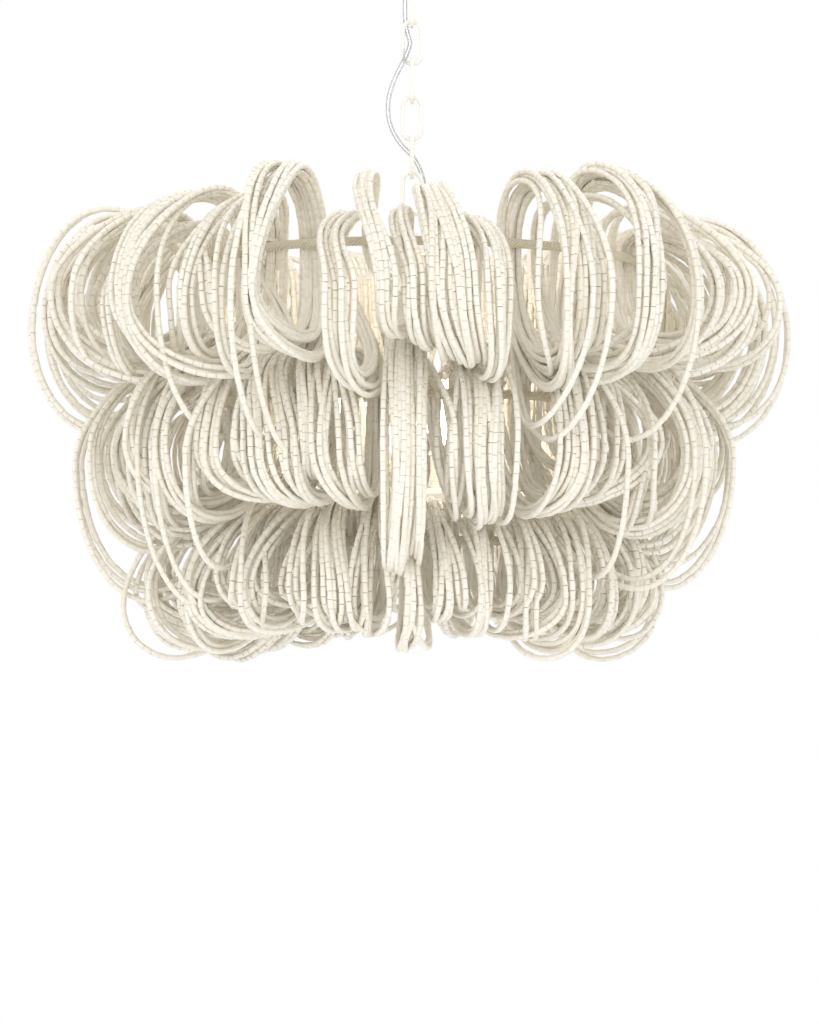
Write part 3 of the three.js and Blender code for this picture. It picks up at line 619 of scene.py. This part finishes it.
def skein(tier, azimuth, strands, share, rise, drop, top, outer, low, spread, loose, rng, middle=0.0):
    """The strands of one skein, which lie in small groups side by side."""
    pitch = look("beads").diameter / MM * PITCH
    ring = ring_of(tier)[0] / MM
    reach = (SHAPES[tier][0] - ring) * share
    least = 2 if loose > 0.2 else 1
    sizes = []
    while sum(sizes) < strands:
        sizes.append(min(int(rng.integers(least, 6)), strands - sum(sizes)))
    places = np.linspace(-1, 1, len(sizes)) if len(sizes) > 1 else np.zeros(1)
    rng.shuffle(places[1:-1])
    found = []
    for size, place in zip(sizes, places):
        across = middle + place * max(0, spread - size * pitch / 3) + rng.normal(0, 10 * loose)
        inner = rng.uniform(0, 1) ** 1.6 * loose * 0.85 + abs(rng.normal(0, 0.02))
        sway = np.array([top, outer, low]) + rng.normal(0, 1, 3) * np.array(STRAY_SWAY) * loose
        tilt = rng.normal(0, 0.24 * loose)
        lower = min(6, rng.normal(0, 3 + 14 * loose))
        for k in range(size):
            layer, step = k % 2, k // 2
            less = 1 - inner - layer * 0.035 * (1 + loose) - rng.uniform(0, 0.02 + 0.06 * loose)
            near = across + (step - size / 4 + 0.5) * pitch * 1.02
            near += rng.normal(0, 0.4 + 5 * loose) + layer * pitch * 0.3
            root = middle * 0.4 + place * spread * 0.36 + (k - size / 2) * 1.6
            loop = (ring + (reach - 3) * less, rise * less - rng.uniform(0, 3), drop * less + lower)
            swayed = sway + rng.normal(0, 1, 3) * (0.6 + 9 * loose)
            depth = layer * LAYER + rng.uniform(0, 5)
            found.append(strand(tier, azimuth, *loop, rng, near, root, swayed, tilt, depth))
    return found


def strands_of(tier, pair, rng):
    """All the strands of one piece: two skeins, what lies between them and the next, and strays."""
    azimuths, beads = AZIMUTHS[tier], look("beads")
    rise, drop = SHAPES[tier][1:]
    found = []
    for n in (2 * pair, 2 * pair + 1):
        here = azimuths[n]
        onward = azimuths[n + 1] if n + 1 < len(azimuths) else azimuths[0] + 360
        for azimuth, strands in ((here, beads.strands), ((here + onward) / 2, beads.between)):
            if azimuth in SHOWN[tier]:
                found += skein(tier, azimuth, *SHOWN[tier][azimuth], rng, TIED_ASIDE.get((tier, azimuth), 0))
                continue
            loose = rng.uniform(0.28, 0.42)
            short = BACK_DROP if tier == "bottom" and BACK[0] < azimuth < BACK[1] else 1
            turns = zip((-18, 18), TURNS[tier][here]) if azimuth == here else [(0, (0.9, 0.8, 0.88))]
            for middle, (share, over, under) in turns:
                count, spread = (strands // 2, 20) if middle else (strands, 30)
                sides = rng.normal(0, 1, 3) * (8, 12, 14)
                shape = (share, rise * over, drop * under * short, *sides, spread, loose)
                found += skein(tier, azimuth, count, *shape, rng, middle)
        for azimuth, reach, over, under, lean, twist in STRAYS[tier]:
            if azimuth == here:
                sway = (50 * lean + 70 * twist, 150 * twist, 90 * twist - 130 * lean)
                found.append(strand(tier, here, reach, over, under, rng, aside=rng.normal(0, 8), sway=sway))
    return found


def guides(name, loops, rng):
    """A mesh of edges, one closed ring of them for each strand, which has a tone of its own."""
    n = LOOP_POINTS
    edges = [(k * n + i, k * n + (i + 1) % n) for k in range(len(loops)) for i in range(n)]
    mesh = bpy.data.meshes.new(name)
    mesh.from_pydata(np.concatenate(loops).tolist(), edges, [])
    tones = np.repeat(rng.uniform(0, 1, len(loops)), n)
    mesh.attributes.new("strand", "FLOAT", "POINT").data.foreach_set("value", tones.astype(np.float32))
    return object_of(name, mesh)


def unit_bead():
    """One bead, one across its radius and one long, with an eased end, closed. along runs from end to end."""
    work = bmesh.new()
    along = work.verts.layers.float.new("along")
    rows = []
    for radius, height in ((0.82, 0.0), (1.0, 0.06), (1.0, 1.0)):
        rows.append(round_row(work, radius, height - 0.5, 5))
        for vert in rows[-1]:
            vert[along] = height
    joined(work, rows)
    for face in work.faces:
        face.smooth = True
    for end in (rows[0][::-1], rows[-1]):
        for edge in work.faces.new(end).edges:
            edge.smooth = False
    return built("Bead", work)


def bead_tree():
    """Threads beads of uneven length end to end along every loop of edges."""
    sizes = ["Bead Length", "Bead Diameter", "Unevenness"]
    tree, nodes, given = tree_of("Threaded Beads", Object=["Bead"], Float=sizes, Int=["Seed"])

    def chance(low, high, salt):
        values = {2: low, 3: high, "Seed": given("Seed") + salt}
        return nodes.add("FunctionNodeRandomValue", {}, values, out=1)

    by_length = {"mode": "LENGTH"}
    curve = nodes.add("GeometryNodeMeshToCurve", Mesh=given("Geometry"))
    even = nodes.add("GeometryNodeResampleCurve", by_length, Curve=curve, Length=given("Bead Length"))
    # each joint between beads moves along its strand
    along = nodes.add("GeometryNodeSplineParameter", out="Length")
    total = nodes.add("GeometryNodeSplineLength", out="Length")
    moved = along + given("Bead Length") * given("Unevenness") * chance(-0.5, 0.5, 4)
    wrapped = moved.sum("FLOORED_MODULO", moved, total)
    index = nodes.add("GeometryNodeCurveOfPoint", out="Curve Index")
    values = {"Curves": curve, "Length": wrapped, "Curve Index": index}
    place = nodes.add("GeometryNodeSampleCurve", by_length, values, out="Position")
    uneven = nodes.add("GeometryNodeSetPosition", Geometry=even, Position=place)
    line = nodes.add("GeometryNodeCurveToMesh", Curve=uneven)
    # each edge becomes a bead that lies along it
    ends = nodes.add("GeometryNodeInputMeshEdgeVertices", out="Position 1")
    values = {0: ends.other("Position 2"), 1: ends}
    span = nodes.add("ShaderNodeVectorMath", {"operation": "SUBTRACT"}, values)
    settings = {"domain": "EDGE", "captures": {"Span": "VECTOR"}}
    held = nodes.add("GeometryNodeCaptureAttribute", settings, {0: line, 1: span})
    points = nodes.add("GeometryNodeMeshToPoints", {"mode": "EDGES"}, Mesh=held)
    kept = held.other("Span")
    length = nodes.add("ShaderNodeVectorMath", {"operation": "LENGTH"}, {0: kept}, out="Value")
    lying = nodes.add("FunctionNodeAlignRotationToVector", Vector=kept)
    spun = nodes.add("FunctionNodeAxisAngleToRotation", Axis=(0, 0, 1), Angle=chance(0.0, FULL_TURN, 1))
    way = nodes.add("FunctionNodeRotateRotation", {"rotation_space": "LOCAL"}, {0: lying, 1: spun})
    radius = given("Bead Diameter") * chance(0.48, 0.54, 2)
    size = nodes.add("ShaderNodeCombineXYZ", {}, {0: radius, 1: radius, 2: length * 0.99})
    bead = nodes.add("GeometryNodeObjectInfo", Object=given("Bead"), out="Geometry")
    beads = nodes.add("GeometryNodeInstanceOnPoints", Points=points, Instance=bead, Rotation=way, Scale=size)
    values = {"Geometry": beads, "Name": "tone", "Value": chance(0.0, 1.0, 3)}
    toned = nodes.add("GeometryNodeStoreNamedAttribute", {"domain": "INSTANCE"}, values)
    ended(nodes, toned, material("beads"))
    return tree


class CHANDELIER_OT_skeins(bpy.types.Operator):
    """Make the skeins of threaded beads, one piece for each pair"""

    bl_idname = "chandelier.skeins"
    bl_label = "Bead Skeins"

    def execute(self, context):
        beads, tree, bead = look("beads"), bead_tree(), unit_bead()
        for t, tier in enumerate(TIERS):
            for pair in range(len(AZIMUTHS[tier]) // 2):
                rng = np.random.default_rng(beads.seed + 100 * t + pair)
                name = f"{tier}_beads_{pair + 1}"
                inputs = {"Bead": bead, "Bead Length": beads.length, "Bead Diameter": beads.diameter}
                inputs |= {"Unevenness": beads.unevenness, "Seed": beads.seed + pair}
                piece = grown(tree, name, inputs, guides(name, strands_of(tier, pair, rng), rng))
                hand_over(piece, "fixture", f"{tier}_skeins_{pair + 1}")
        bpy.data.objects.remove(bead)
        return {"FINISHED"}


# Rings


def winding_tree():
    """Winds several twines side by side round a rod that is bent to a circle."""
    sizes = ["Ring Radius", "Height", "Rod Radius", "Twine"]
    tree, nodes, given = tree_of("Twine Winding", Float=sizes, Int=["Starts", "Turns", "Steps"])
    circle = nodes.add("GeometryNodeCurvePrimitiveCircle", Resolution=given("Steps"))
    by_spline = {"domain": "SPLINE"}
    many = nodes.add("GeometryNodeDuplicateElements", by_spline, Geometry=circle, Amount=given("Starts"))
    share = nodes.add("GeometryNodeSplineParameter", out="Factor")
    round_ring = share * FULL_TURN
    ahead = many.other("Duplicate Index") * FULL_TURN / given("Starts")
    round_rod = share * given("Turns") * FULL_TURN + ahead
    out = given("Ring Radius") + given("Rod Radius") * round_rod.through("COSINE")
    x = out * round_ring.through("COSINE")
    y = out * round_ring.through("SINE")
    z = given("Height") + given("Rod Radius") * round_rod.through("SINE")
    place = nodes.add("ShaderNodeCombineXYZ", {}, {0: x, 1: y, 2: z})
    wound = nodes.add("GeometryNodeSetPosition", Geometry=many, Position=place)
    ended(nodes, swept(nodes, wound, 5, given("Twine")), material("twine"))
    return tree


class CHANDELIER_OT_rings(bpy.types.Operator):
    """Make the three rings with their wound twine"""

    bl_idname = "chandelier.rings"
    bl_label = "Bound Rings"

    def execute(self, context):
        rings, tree = look("rings"), winding_tree()
        core = (rings.rod - rings.twine * 1.2) / 2 / MM
        for tier in TIERS:
            radius, height = ring_of(tier)
            turns = round(FULL_TURN * radius / rings.advance)
            inputs = {"Ring Radius": radius, "Height": height, "Rod Radius": (rings.rod - rings.twine) / 2}
            inputs |= {"Twine": rings.twine, "Starts": rings.starts, "Turns": turns, "Steps": turns * 10}
            node, section = f"{tier}_ring", arc((radius / MM, 0), core, 0, 330, 11)
            hand_over(grown(tree, f"{node}_twine", inputs), "fixture", node)
            turned(f"{node}_rod", section, (0, 0, height), "fixture", node, "plain_steel", 120)
        return {"FINISHED"}


# Chain and painted metal

LINKS = 6
EYE = 26 * MM  # outside of the screw loop's eye and of the hub's loop


def link_tree():
    """A closed link of round wire, lying upright in the XZ plane."""
    tree, nodes, given = tree_of("Wire Link", Float=["Length", "Width", "Wire", "Corner"])
    width, tall = given("Width") - given("Wire"), given("Length") - given("Wire")
    outline = nodes.add("GeometryNodeCurvePrimitiveQuadrilateral", Width=width, Height=tall)
    corner = {"Count": 9, "Radius": given("Corner"), "Limit Radius": True}
    rounded = nodes.add("GeometryNodeFilletCurve", {"mode": "POLY"}, corner, Curve=outline)
    rod = swept(nodes, rounded, 16, given("Wire"))
    upright = nodes.add("GeometryNodeTransform", Geometry=rod, Rotation=(math.pi / 2, 0, 0))
    ended(nodes, upright, material("painted_metal"))
    return tree


def standing_wire(tree, name, node_box, body, node):
    """A link or an eye of round wire, fitted to a box and to its longer side in plan."""
    wire = look("metal").wire
    low, high = node_box
    size, middle = high - low, (low + high) / 2
    width = max(size.x, size.y)
    inputs = {"Length": size.z, "Width": width, "Wire": wire, "Corner": (width - wire) / 2 * 0.995}
    piece = grown(tree, name, inputs)
    for vert in piece.data.vertices:
        x, y, z = vert.co
        vert.co = Vector((-y, x, z) if size.y > size.x else (x, y, z)) + middle
    hand_over(piece, body, node)


class CHANDELIER_OT_chain(bpy.types.Operator):
    """Make the six links, the screw loop with its eye, and the hub's loop"""

    bl_idname = "chandelier.chain"
    bl_label = "Chain"

    def execute(self, context):
        half_wire, tree = look("metal").wire / 2, link_tree()
        for i in range(LINKS):
            name = f"chain_link_{i + 1}"
            standing_wire(tree, f"{name}_wire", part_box(name), name, name)

        low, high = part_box("screw_loop")
        across = Vector((EYE / 2, half_wire, 0))
        eye = (Vector((0, 0, low.z)) - across, Vector((0, 0, low.z + EYE)) + across)
        standing_wire(tree, "screw_loop_eye", eye, "ceiling", "screw_loop")
        foot, _, top = foot_of("screw_loop")
        bore, crest, groove, head, threads = 3.5, 5, 4.4, 44.5, 26
        profile = [(bore, 24.5), *arc((12.7, 25.3), 0.8, -90, 0, 3), (13.5, 43.7), (12.7, head)]
        profile.append((crest, head))
        rise = (top - head) / threads
        for i in range(threads):
            profile += [(crest, head + rise * (i + 0.3)), (groove, head + rise * (i + 0.8))]
        turned("screw_loop_drum", [*profile, (bore, top)], foot, "ceiling", "screw_loop")

        low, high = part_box("hub_loop")
        across = Vector((half_wire, EYE / 2, 0))
        loop = (Vector((0, 0, high.z - EYE)) - across, Vector((0, 0, high.z)) + across)
        standing_wire(tree, "hub_loop_ring", loop, "fixture", "hub_loop")
        foot, _, tall = foot_of("hub_loop")
        top = tall - 24.5
        profile = [(0, 0), (9.2, 0), (10, 0.8), (10, 5), *arc((7, 5), 2.2, 0, 60, 4), (6.4, top - 2)]
        profile += [*arc((5.4, top - 1), 1, 0, 90, 4), (0, top)]
        turned("hub_loop_neck", profile, foot, "fixture", "hub_loop")
        return {"FINISHED"}


class CHANDELIER_OT_metal(bpy.types.Operator):
    """Make the canopy and its nut, the hub and the finial, and finish the other metal"""

    bl_idname = "chandelier.metal"
    bl_label = "Canopy, Hub and Arms"

    def execute(self, context):
        foot, rim, tall = foot_of("canopy")
        wall, lip, crown, hole = 1.6, 4, 24, 13.9

        def dome(inset):
            across, down = rim - inset - crown, tall - inset - lip
            return [(crown + across * x, tall - lip - down * y) for x, y in arc((0, 0), 1, 0, 90, 14)]

        profile = [(rim, tall), *dome(0), (hole, 0), (hole, wall), *dome(wall)[::-1], (rim - wall, tall)]
        turned("canopy_shell", profile, foot, "canopy", "canopy", sides=96)

        foot, _, tall = foot_of("collar_nut")
        profile = [(14.1, 0), (18.2, 0), (19, 0.8), (19, tall - 0.8), (18.2, tall), (14.1, tall)]
        knurls = {"sides": 144, "ribs": 36, "rib_depth": 0.7 * MM}
        turned("collar_nut_knurled", profile, foot, "collar_nut", "collar_nut", **knurls)

        foot, r, tall = foot_of("hub_block")
        profile = [(5.3, 0), (r - 1, 0), *arc((r - 1, 1), 1, -90, 0, 3)]
        profile += [*arc((r - 3, tall - 3), 3, 0, 90, 6), (5.3, tall)]
        turned("hub_disc", profile, foot, "fixture", "hub_block", sides=96)

        foot, r, tall = foot_of("finial")
        outline = [(0, 0), (0.3, 0.01), (0.42, 0.06), (0.5, 0.14), (0.44, 0.22), (0.34, 0.28), (0.5, 0.34)]
        outline += [(0.82, 0.42), (0.96, 0.52), (1, 0.6), (0.95, 0.69), (0.82, 0.77), (0.86, 0.82)]
        outline += [(1, 0.87), (1, 1), (0, 1)]
        turned("finial_turned", [(x * r, y * tall) for x, y in outline], foot, "fixture", "finial")

        spiders = [f"{tier}_spider" for tier in TIERS]
        spacers = [f"{part}_spacer" for part in ("upper", "middle", "lower")]
        kept = {
            "plain_steel": ["ceiling_crossbar", "box_screw_left", "box_screw_right", "stem"],
            "painted_metal": [*spiders, *spacers, "lamp_cluster"],
            "holder_plastic": ["cord_bushing"],
        }
        for finish, names in kept.items():
            for name in names:
                painted(frame["nodes"][name], finish)
        return {"FINISHED"}


# Lead

LEAD = [
    (0, 0, -24), (0, 0, -40), (0, 0, -54), (-2.2, 3.2, -64), (-6.2, 8, -75), (-7, 9, -90), (-6.6, 8.4, -106),
    (-4.6, 5, -118), (-2, 0, -129.4), (-5, -5.4, -141), (-10, -7.6, -152), (-17.5, -7, -167), (-23, -5, -184),
    (-24, -3, -199), (-20.5, -1, -215), (-11.5, 0.5, -230), (0.5, 1.5, -242.5), (7.5, 5, -254),
    (12, 7.6, -268), (15.5, 8, -282), (19, 7, -296.4), (22.6, 3.6, -310), (24, 0.6, -322), (24, 0, -332),
    (24, 0, -337.3),
]  # fmt: skip
SLIDING_JOINT = 5  # the sixth, whose axis the lead passes closely: there one piece slides into the next


def smooth_route(points, steps=8):
    """A smooth line through the route's points."""
    p = np.array(points, float)
    p = np.vstack([2 * p[0] - p[1], p, 2 * p[-1] - p[-2]])
    found = []
    for a, b, c, d in zip(p, p[1:], p[2:], p[3:]):
        for t in np.arange(steps) / steps:
            squared, cubed = 2 * a - 5 * b + 4 * c - d, 3 * b - a - 3 * c + d
            found.append((2 * b + (c - a) * t + squared * t**2 + cubed * t**3) / 2)
    return np.array(found + [p[-2]])


def carried(line):
    """Two directions across a line at each of its points, which turn with it and don't twist."""
    tangent = np.gradient(line, axis=0)
    tangent /= np.linalg.norm(tangent, axis=1)[:, None]
    side = np.cross(tangent[0], [0, 1, 0.01])
    sides, ups = [], []
    for way in tangent:
        side = side - way * (side @ way)
        side /= np.linalg.norm(side)
        sides.append(side)
        ups.append(np.cross(way, side))
    return np.array(sides), np.array(ups)


def tube_along(name, line, across, section, offset, closed, tucked):
    """A tube that carries a section along a line, closed at the ends that are not met by the next tube.
    Its last rows that are tucked into the next tube are a little thinner."""
    work = bmesh.new()
    rows = []
    for k, (point, side, up) in enumerate(zip(line, *across)):
        size = 1 if k < len(line) - tucked else 0.95
        ring = [(x * size + offset, y * size) for x, y in section]
        rows.append([work.verts.new(point + side * x + up * y) for x, y in ring])
    joined(work, rows)
    for end, row in zip(closed, (rows[0][::-1], rows[-1])):
        if end:
            work.faces.new(row)
    bmesh.ops.recalc_face_normals(work, faces=work.faces)
    for face in work.faces:
        face.smooth = len(face.verts) == 4
    return built(name, work)


class CHANDELIER_OT_lead(bpy.types.Operator):
    """Make the clear twin lead, in a piece for each joint of the chain that it bends across"""

    bl_idname = "chandelier.lead"
    bl_label = "Clear Lead"

    def execute(self, context):
        line = smooth_route(LEAD) * MM
        across = carried(line)
        half = look("lead").width / 4
        section = arc((half, 0), half, -90, 90, 8) + arc((-half, 0), half, 90, 270, 8)
        core = arc((0, 0), look("lead").core / 2, 0, 315, 7)
        pivots = [j["pos_m"][2] for j in frame["joints"] if j["name"].endswith("_swing")]
        bends = [i for i in range(len(pivots)) if i != SLIDING_JOINT]
        middles = [(pivots[a] + pivots[b]) / 2 for a, b in zip(bends, bends[1:])]
        cuts = [line[0][2] + 1, *middles, line[-1][2] - 1]
        for n, i in enumerate(bends):
            inside = np.nonzero((line[:, 2] <= cuts[n]) & (line[:, 2] >= cuts[n + 1]))[0]
            tucked = 2 if i + 1 == SLIDING_JOINT else 0
            run = slice(inside[0], min(inside[-1] + 2 + tucked // 2, len(line)))
            path = (line[run], [way[run] for way in across])
            ends = ((n == 0, n == len(bends) - 1), tucked)
            jacket = tube_along(f"lead_jacket_{n + 1}", *path, section, 0, *ends)
            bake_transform(painted(jacket, "clear_lead"))
            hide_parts("power_cord")
            for letter, middle in (("a", -half), ("b", half)):
                wire = tube_along(f"lead_core_{n + 1}_{letter}", *path, core, middle, *ends)
                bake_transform(painted(wire, "silver"))
        return {"FINISHED"}


# Lamps


class CHANDELIER_OT_lamps(bpy.types.Operator):
    """Make the three lampholders and bulbs"""

    bl_idname = "chandelier.lamps"
    bl_label = "Lamps"

    def execute(self, context):
        sides = look("lamps").sides
        for i in range(3):
            name = f"lampholder_{i + 1}"
            foot, _, top = foot_of(name)
            profile = [(0, 0), (12.4, 0), (13, 0.6)]
            for z in np.arange(5) * 4.2 + 8:
                profile += [(13, z), (12.4, z + 0.5), (12.4, z + 1.2), (13, z + 1.7)]
            profile += [(13, top - 4.6), (14.4, top - 4), (15, top - 3.4), (15, top - 0.6), (14.4, top)]
            profile += [(9, top), (8.4, top - 0.6), (8.4, 12), (0, 12)]
            turned(f"{name}_shell", profile, foot, "fixture", name, "holder_plastic", sides)

            name = f"bulb_{i + 1}"
            foot, r, top = foot_of(name)
            glass = 28
            outline = [(0, -0.07), (0.42, -0.07), (0.44, 0), (0.5, 0.06), (0.66, 0.14), (0.86, 0.24)]
            outline += [(0.97, 0.32), (1, 0.38), (0.98, 0.46), (0.9, 0.58), (0.76, 0.71), (0.57, 0.83)]
            outline += [(0.38, 0.92), (0.2, 0.98), (0, 1)]
            profile = [(u * r, glass + v * (top - glass)) for u, v in outline]
            turned(f"{name}_glass", profile, foot, name, name, "frosted_glass", sides)
            profile = [(0, 0), (3, 0.2), (4.6, 2.5)]
            for z in np.arange(7) * 2.6 + 4:
                profile += [(7.2, z), (7.9, z + 0.9), (7.9, z + 1.4), (7.2, z + 2.3)]
            profile += [(7.7, glass - 4), (7.7, glass - 0.5), (0, glass - 0.5)]
            turned(f"{name}_cap", profile, foot, name, name, "plain_steel", sides)
        return {"FINISHED"}


# Stage

TALL = 1024  # of the photograph, in pixels
FOCAL_LENGTH = 2600  # in pixels
SENSOR = 36
HEART = (0, 0, -0.45)  # what the lamps are aimed at
LAMPS = {  # place, size, power and colour
    "Key": ((-0.8, -3.0, 0.25), 1.6, 11, (1, 0.985, 0.96)),
    "Fill": ((1.0, -3.0, -0.9), 2.0, 6, (0.98, 0.99, 1)),
    "Back": ((0.4, 2.4, 1.0), 1.8, 12, (1, 0.99, 0.97)),
}


def backdrop_rays(nodes):
    """One for the rays that see the plain background: from the camera, off gloss and through glass."""
    rays = nodes.add("ShaderNodeLightPath", out="Is Camera Ray")
    return (rays + rays.other("Is Glossy Ray") + rays.other("Is Transmission Ray")).clamped()


class CHANDELIER_OT_stage(bpy.types.Operator):
    """Set the camera, the lamps, the floor and the world"""

    bl_idname = "chandelier.stage"
    bl_label = "Stage"

    def execute(self, context):
        stage, scene = look("stage"), context.scene
        camera = object_of("Camera", bpy.data.cameras.new("Camera"))
        camera.location = (0, -stage.distance, stage.eye)
        camera.rotation_euler = (math.pi / 2, 0, 0)
        camera.data.sensor_fit = "VERTICAL"
        camera.data.sensor_height = SENSOR
        camera.data.lens = SENSOR * FOCAL_LENGTH / TALL
        camera.data.shift_x = -2.5 / TALL
        camera.data.shift_y = 68 / TALL
        camera.data.clip_end = 50
        scene.camera = camera

        white, nodes, put = finish_of("Pale Floor", Roughness=0.9)
        pale = tuple(stage.pale)
        put(Base_Color=nodes.mixed(nodes.noise(1.5, 2, 0.5), darker(pale, 0.98), pale))
        glow = nodes.add("ShaderNodeEmission")
        shader = Socket(nodes, white.node_tree.nodes["Principled BSDF"].outputs[0])
        mix = nodes.add("ShaderNodeMixShader", {}, {0: backdrop_rays(nodes), 1: shader, 2: glow})
        nodes.put(white.node_tree.nodes["Material Output"].inputs["Surface"], mix)
        work = bmesh.new()
        bmesh.ops.create_grid(work, x_segments=8, y_segments=8, size=6)
        bmesh.ops.translate(work, verts=work.verts, vec=(0, 0, stage.floor))
        floor = built("Floor", work)
        floor.data.materials.append(white)

        world = bpy.data.worlds.new("Studio")
        scene.world = world
        world.use_nodes = True
        sky = Nodes(world.node_tree)
        background = world.node_tree.nodes["Background"]
        sky.put(background.inputs["Color"], (1, 1, 1))
        sky.put(background.inputs["Strength"], 1.08 - backdrop_rays(sky) * 0.08)

        for name, (place, size, power, colour) in LAMPS.items():
            light = bpy.data.lights.new(name, "AREA")
            light.size, light.energy, light.color = size, power, colour
            lamp = object_of(name, light)
            lamp.location = place
            lamp.rotation_euler = (Vector(HEART) - Vector(place)).to_track_quat("-Z", "Y").to_euler()
        scene.view_settings.view_transform = "Standard"
        return {"FINISHED"}


class CHANDELIER_PT_panel(bpy.types.Panel):
    """The sizes and colours of the chandelier, and what makes its pieces"""

    bl_label = "Chandelier"
    bl_idname = "CHANDELIER_PT_panel"
    bl_space_type = "VIEW_3D"
    bl_region_type = "UI"
    bl_category = "Chandelier"

    def draw(self, context):
        for name, group in SETTINGS.items():
            box = self.layout.box()
            for prop in group.__annotations__:
                box.prop(getattr(context.scene, name), prop)
        for operator in OPERATORS:
            self.layout.operator(operator.bl_idname)


OPERATORS = (
    CHANDELIER_OT_stage, CHANDELIER_OT_lead, CHANDELIER_OT_skeins, CHANDELIER_OT_rings,
    CHANDELIER_OT_chain, CHANDELIER_OT_metal, CHANDELIER_OT_lamps,
)  # fmt: skip
CLASSES = (*SETTINGS.values(), *OPERATORS, CHANDELIER_PT_panel)


def register():
    for each in CLASSES:
        bpy.utils.register_class(each)
    for name, group in SETTINGS.items():
        setattr(bpy.types.Scene, name, PointerProperty(type=group))


def unregister():
    for name in SETTINGS:
        delattr(bpy.types.Scene, name)
    for each in reversed(CLASSES):
        bpy.utils.unregister_class(each)


def main():
    register()
    for operator in OPERATORS:
        group, name = operator.bl_idname.split(".")
        getattr(getattr(bpy.ops, group), name)()


if __name__ == "__main__":
    main()
